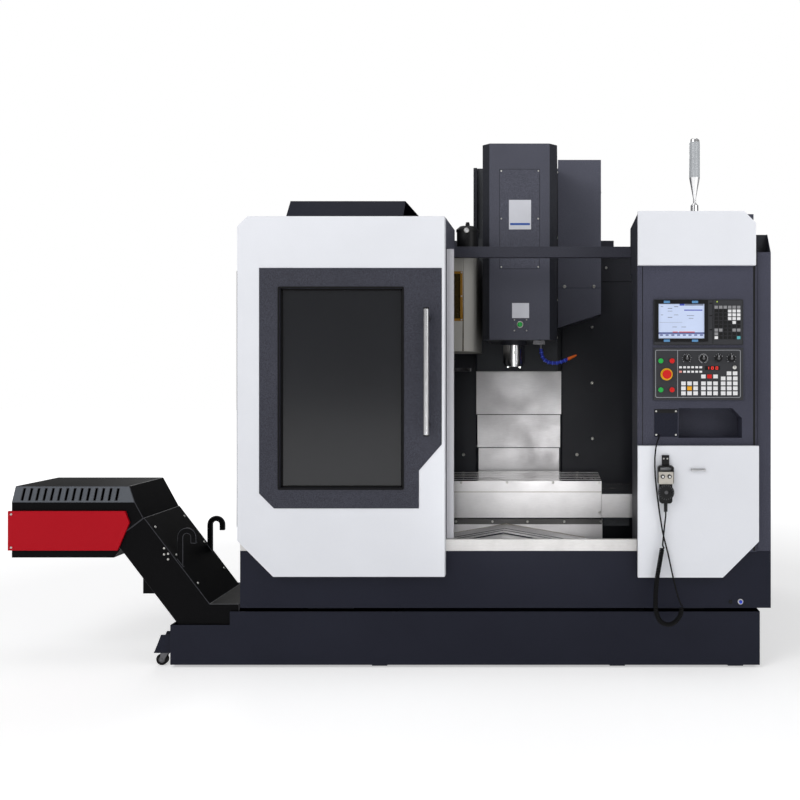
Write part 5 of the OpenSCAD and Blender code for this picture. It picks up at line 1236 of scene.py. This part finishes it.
# Floor, light and world
studio = Values(
    floor=60.0, pale=(0.92, 0.92, 0.93), roughness=0.7, glow=0.45, fade=(2.6, 7.5), world=0.27,
    areas={
        "keyLight": ((-2.6, -5.2, 4.6), (0.2, 0, 1.1), (3.4, 2.6), 112),
        "fillLight": ((4.6, -4.8, 3.0), (0.2, 0, 1.1), (3.0, 2.6), 62),
        "topLight": ((0.4, -0.6, 5.6), (0.4, -0.2, 0), (4.4, 3.2), 44),
        "backLight": ((-2.0, 5.2, 4.4), (0.2, 0, 1.1), (3.4, 2.6), 70),
    },
    workPlace=(260, -3600, 1250), workTarget=(90, 1000, 760), workAngle=14, workBlend=0.5, workSize=0.35,
    work=200,
)


def addLight(name, data, place, target, power):
    data.energy = power
    light = addObject(name, data)
    light.location = place
    light.rotation_euler = (Vector(target) - Vector(place)).to_track_quat("-Z", "Y").to_euler()


def makeLights(v):
    for name, (place, target, size, power) in v.areas.items():
        data = bpy.data.lights.new(name, "AREA")
        data.shape = "RECTANGLE"
        data.size, data.size_y = size
        addLight(name, data, place, target, power)
    data = bpy.data.lights.new("workLight", "SPOT")
    data.spot_size = math.radians(v.workAngle)
    data.spot_blend = v.workBlend
    data.shadow_soft_size = v.workSize
    addLight("workLight", data, spot(*v.workPlace), spot(*v.workTarget), v.work)


def makeFloor(v):
    bm = bmesh.new()
    bmesh.ops.create_grid(bm, x_segments=1, y_segments=1, size=v.floor / 2)
    mesh = bpy.data.meshes.new("studioFloor")
    bm.to_mesh(mesh)
    bm.free()
    material, tree, shader = startMaterial("studioFloor", v.roughness)
    place = tree.nodes.new("ShaderNodeTexCoord").outputs["Object"]
    reach = addMath(tree, "LENGTH", place, kind="ShaderNodeVectorMath")
    setInputs(tree, shader, Base_Color=(*v.pale, 1), Emission_Strength=1,
              Emission_Color=addSpread(tree, reach, *v.fade, v.glow, 1))
    mesh.materials.append(material)
    floor = addObject("studioFloor", mesh)


def makeWorld(v):
    world = bpy.data.worlds.new("studioWorld")
    world.use_nodes = True
    tree = world.node_tree
    seen = tree.nodes.new("ShaderNodeLightPath").outputs["Is Camera Ray"]
    setInputs(tree, tree.nodes["Background"], Color=(1, 1, 1, 1),
              Strength=addSpread(tree, seen, 0, 1, v.world, 1))
    scene.world = world


makeFloor(studio)
makeWorld(studio)
makeLights(studio)
scene.view_settings.view_transform = "Standard"
print("studio set")
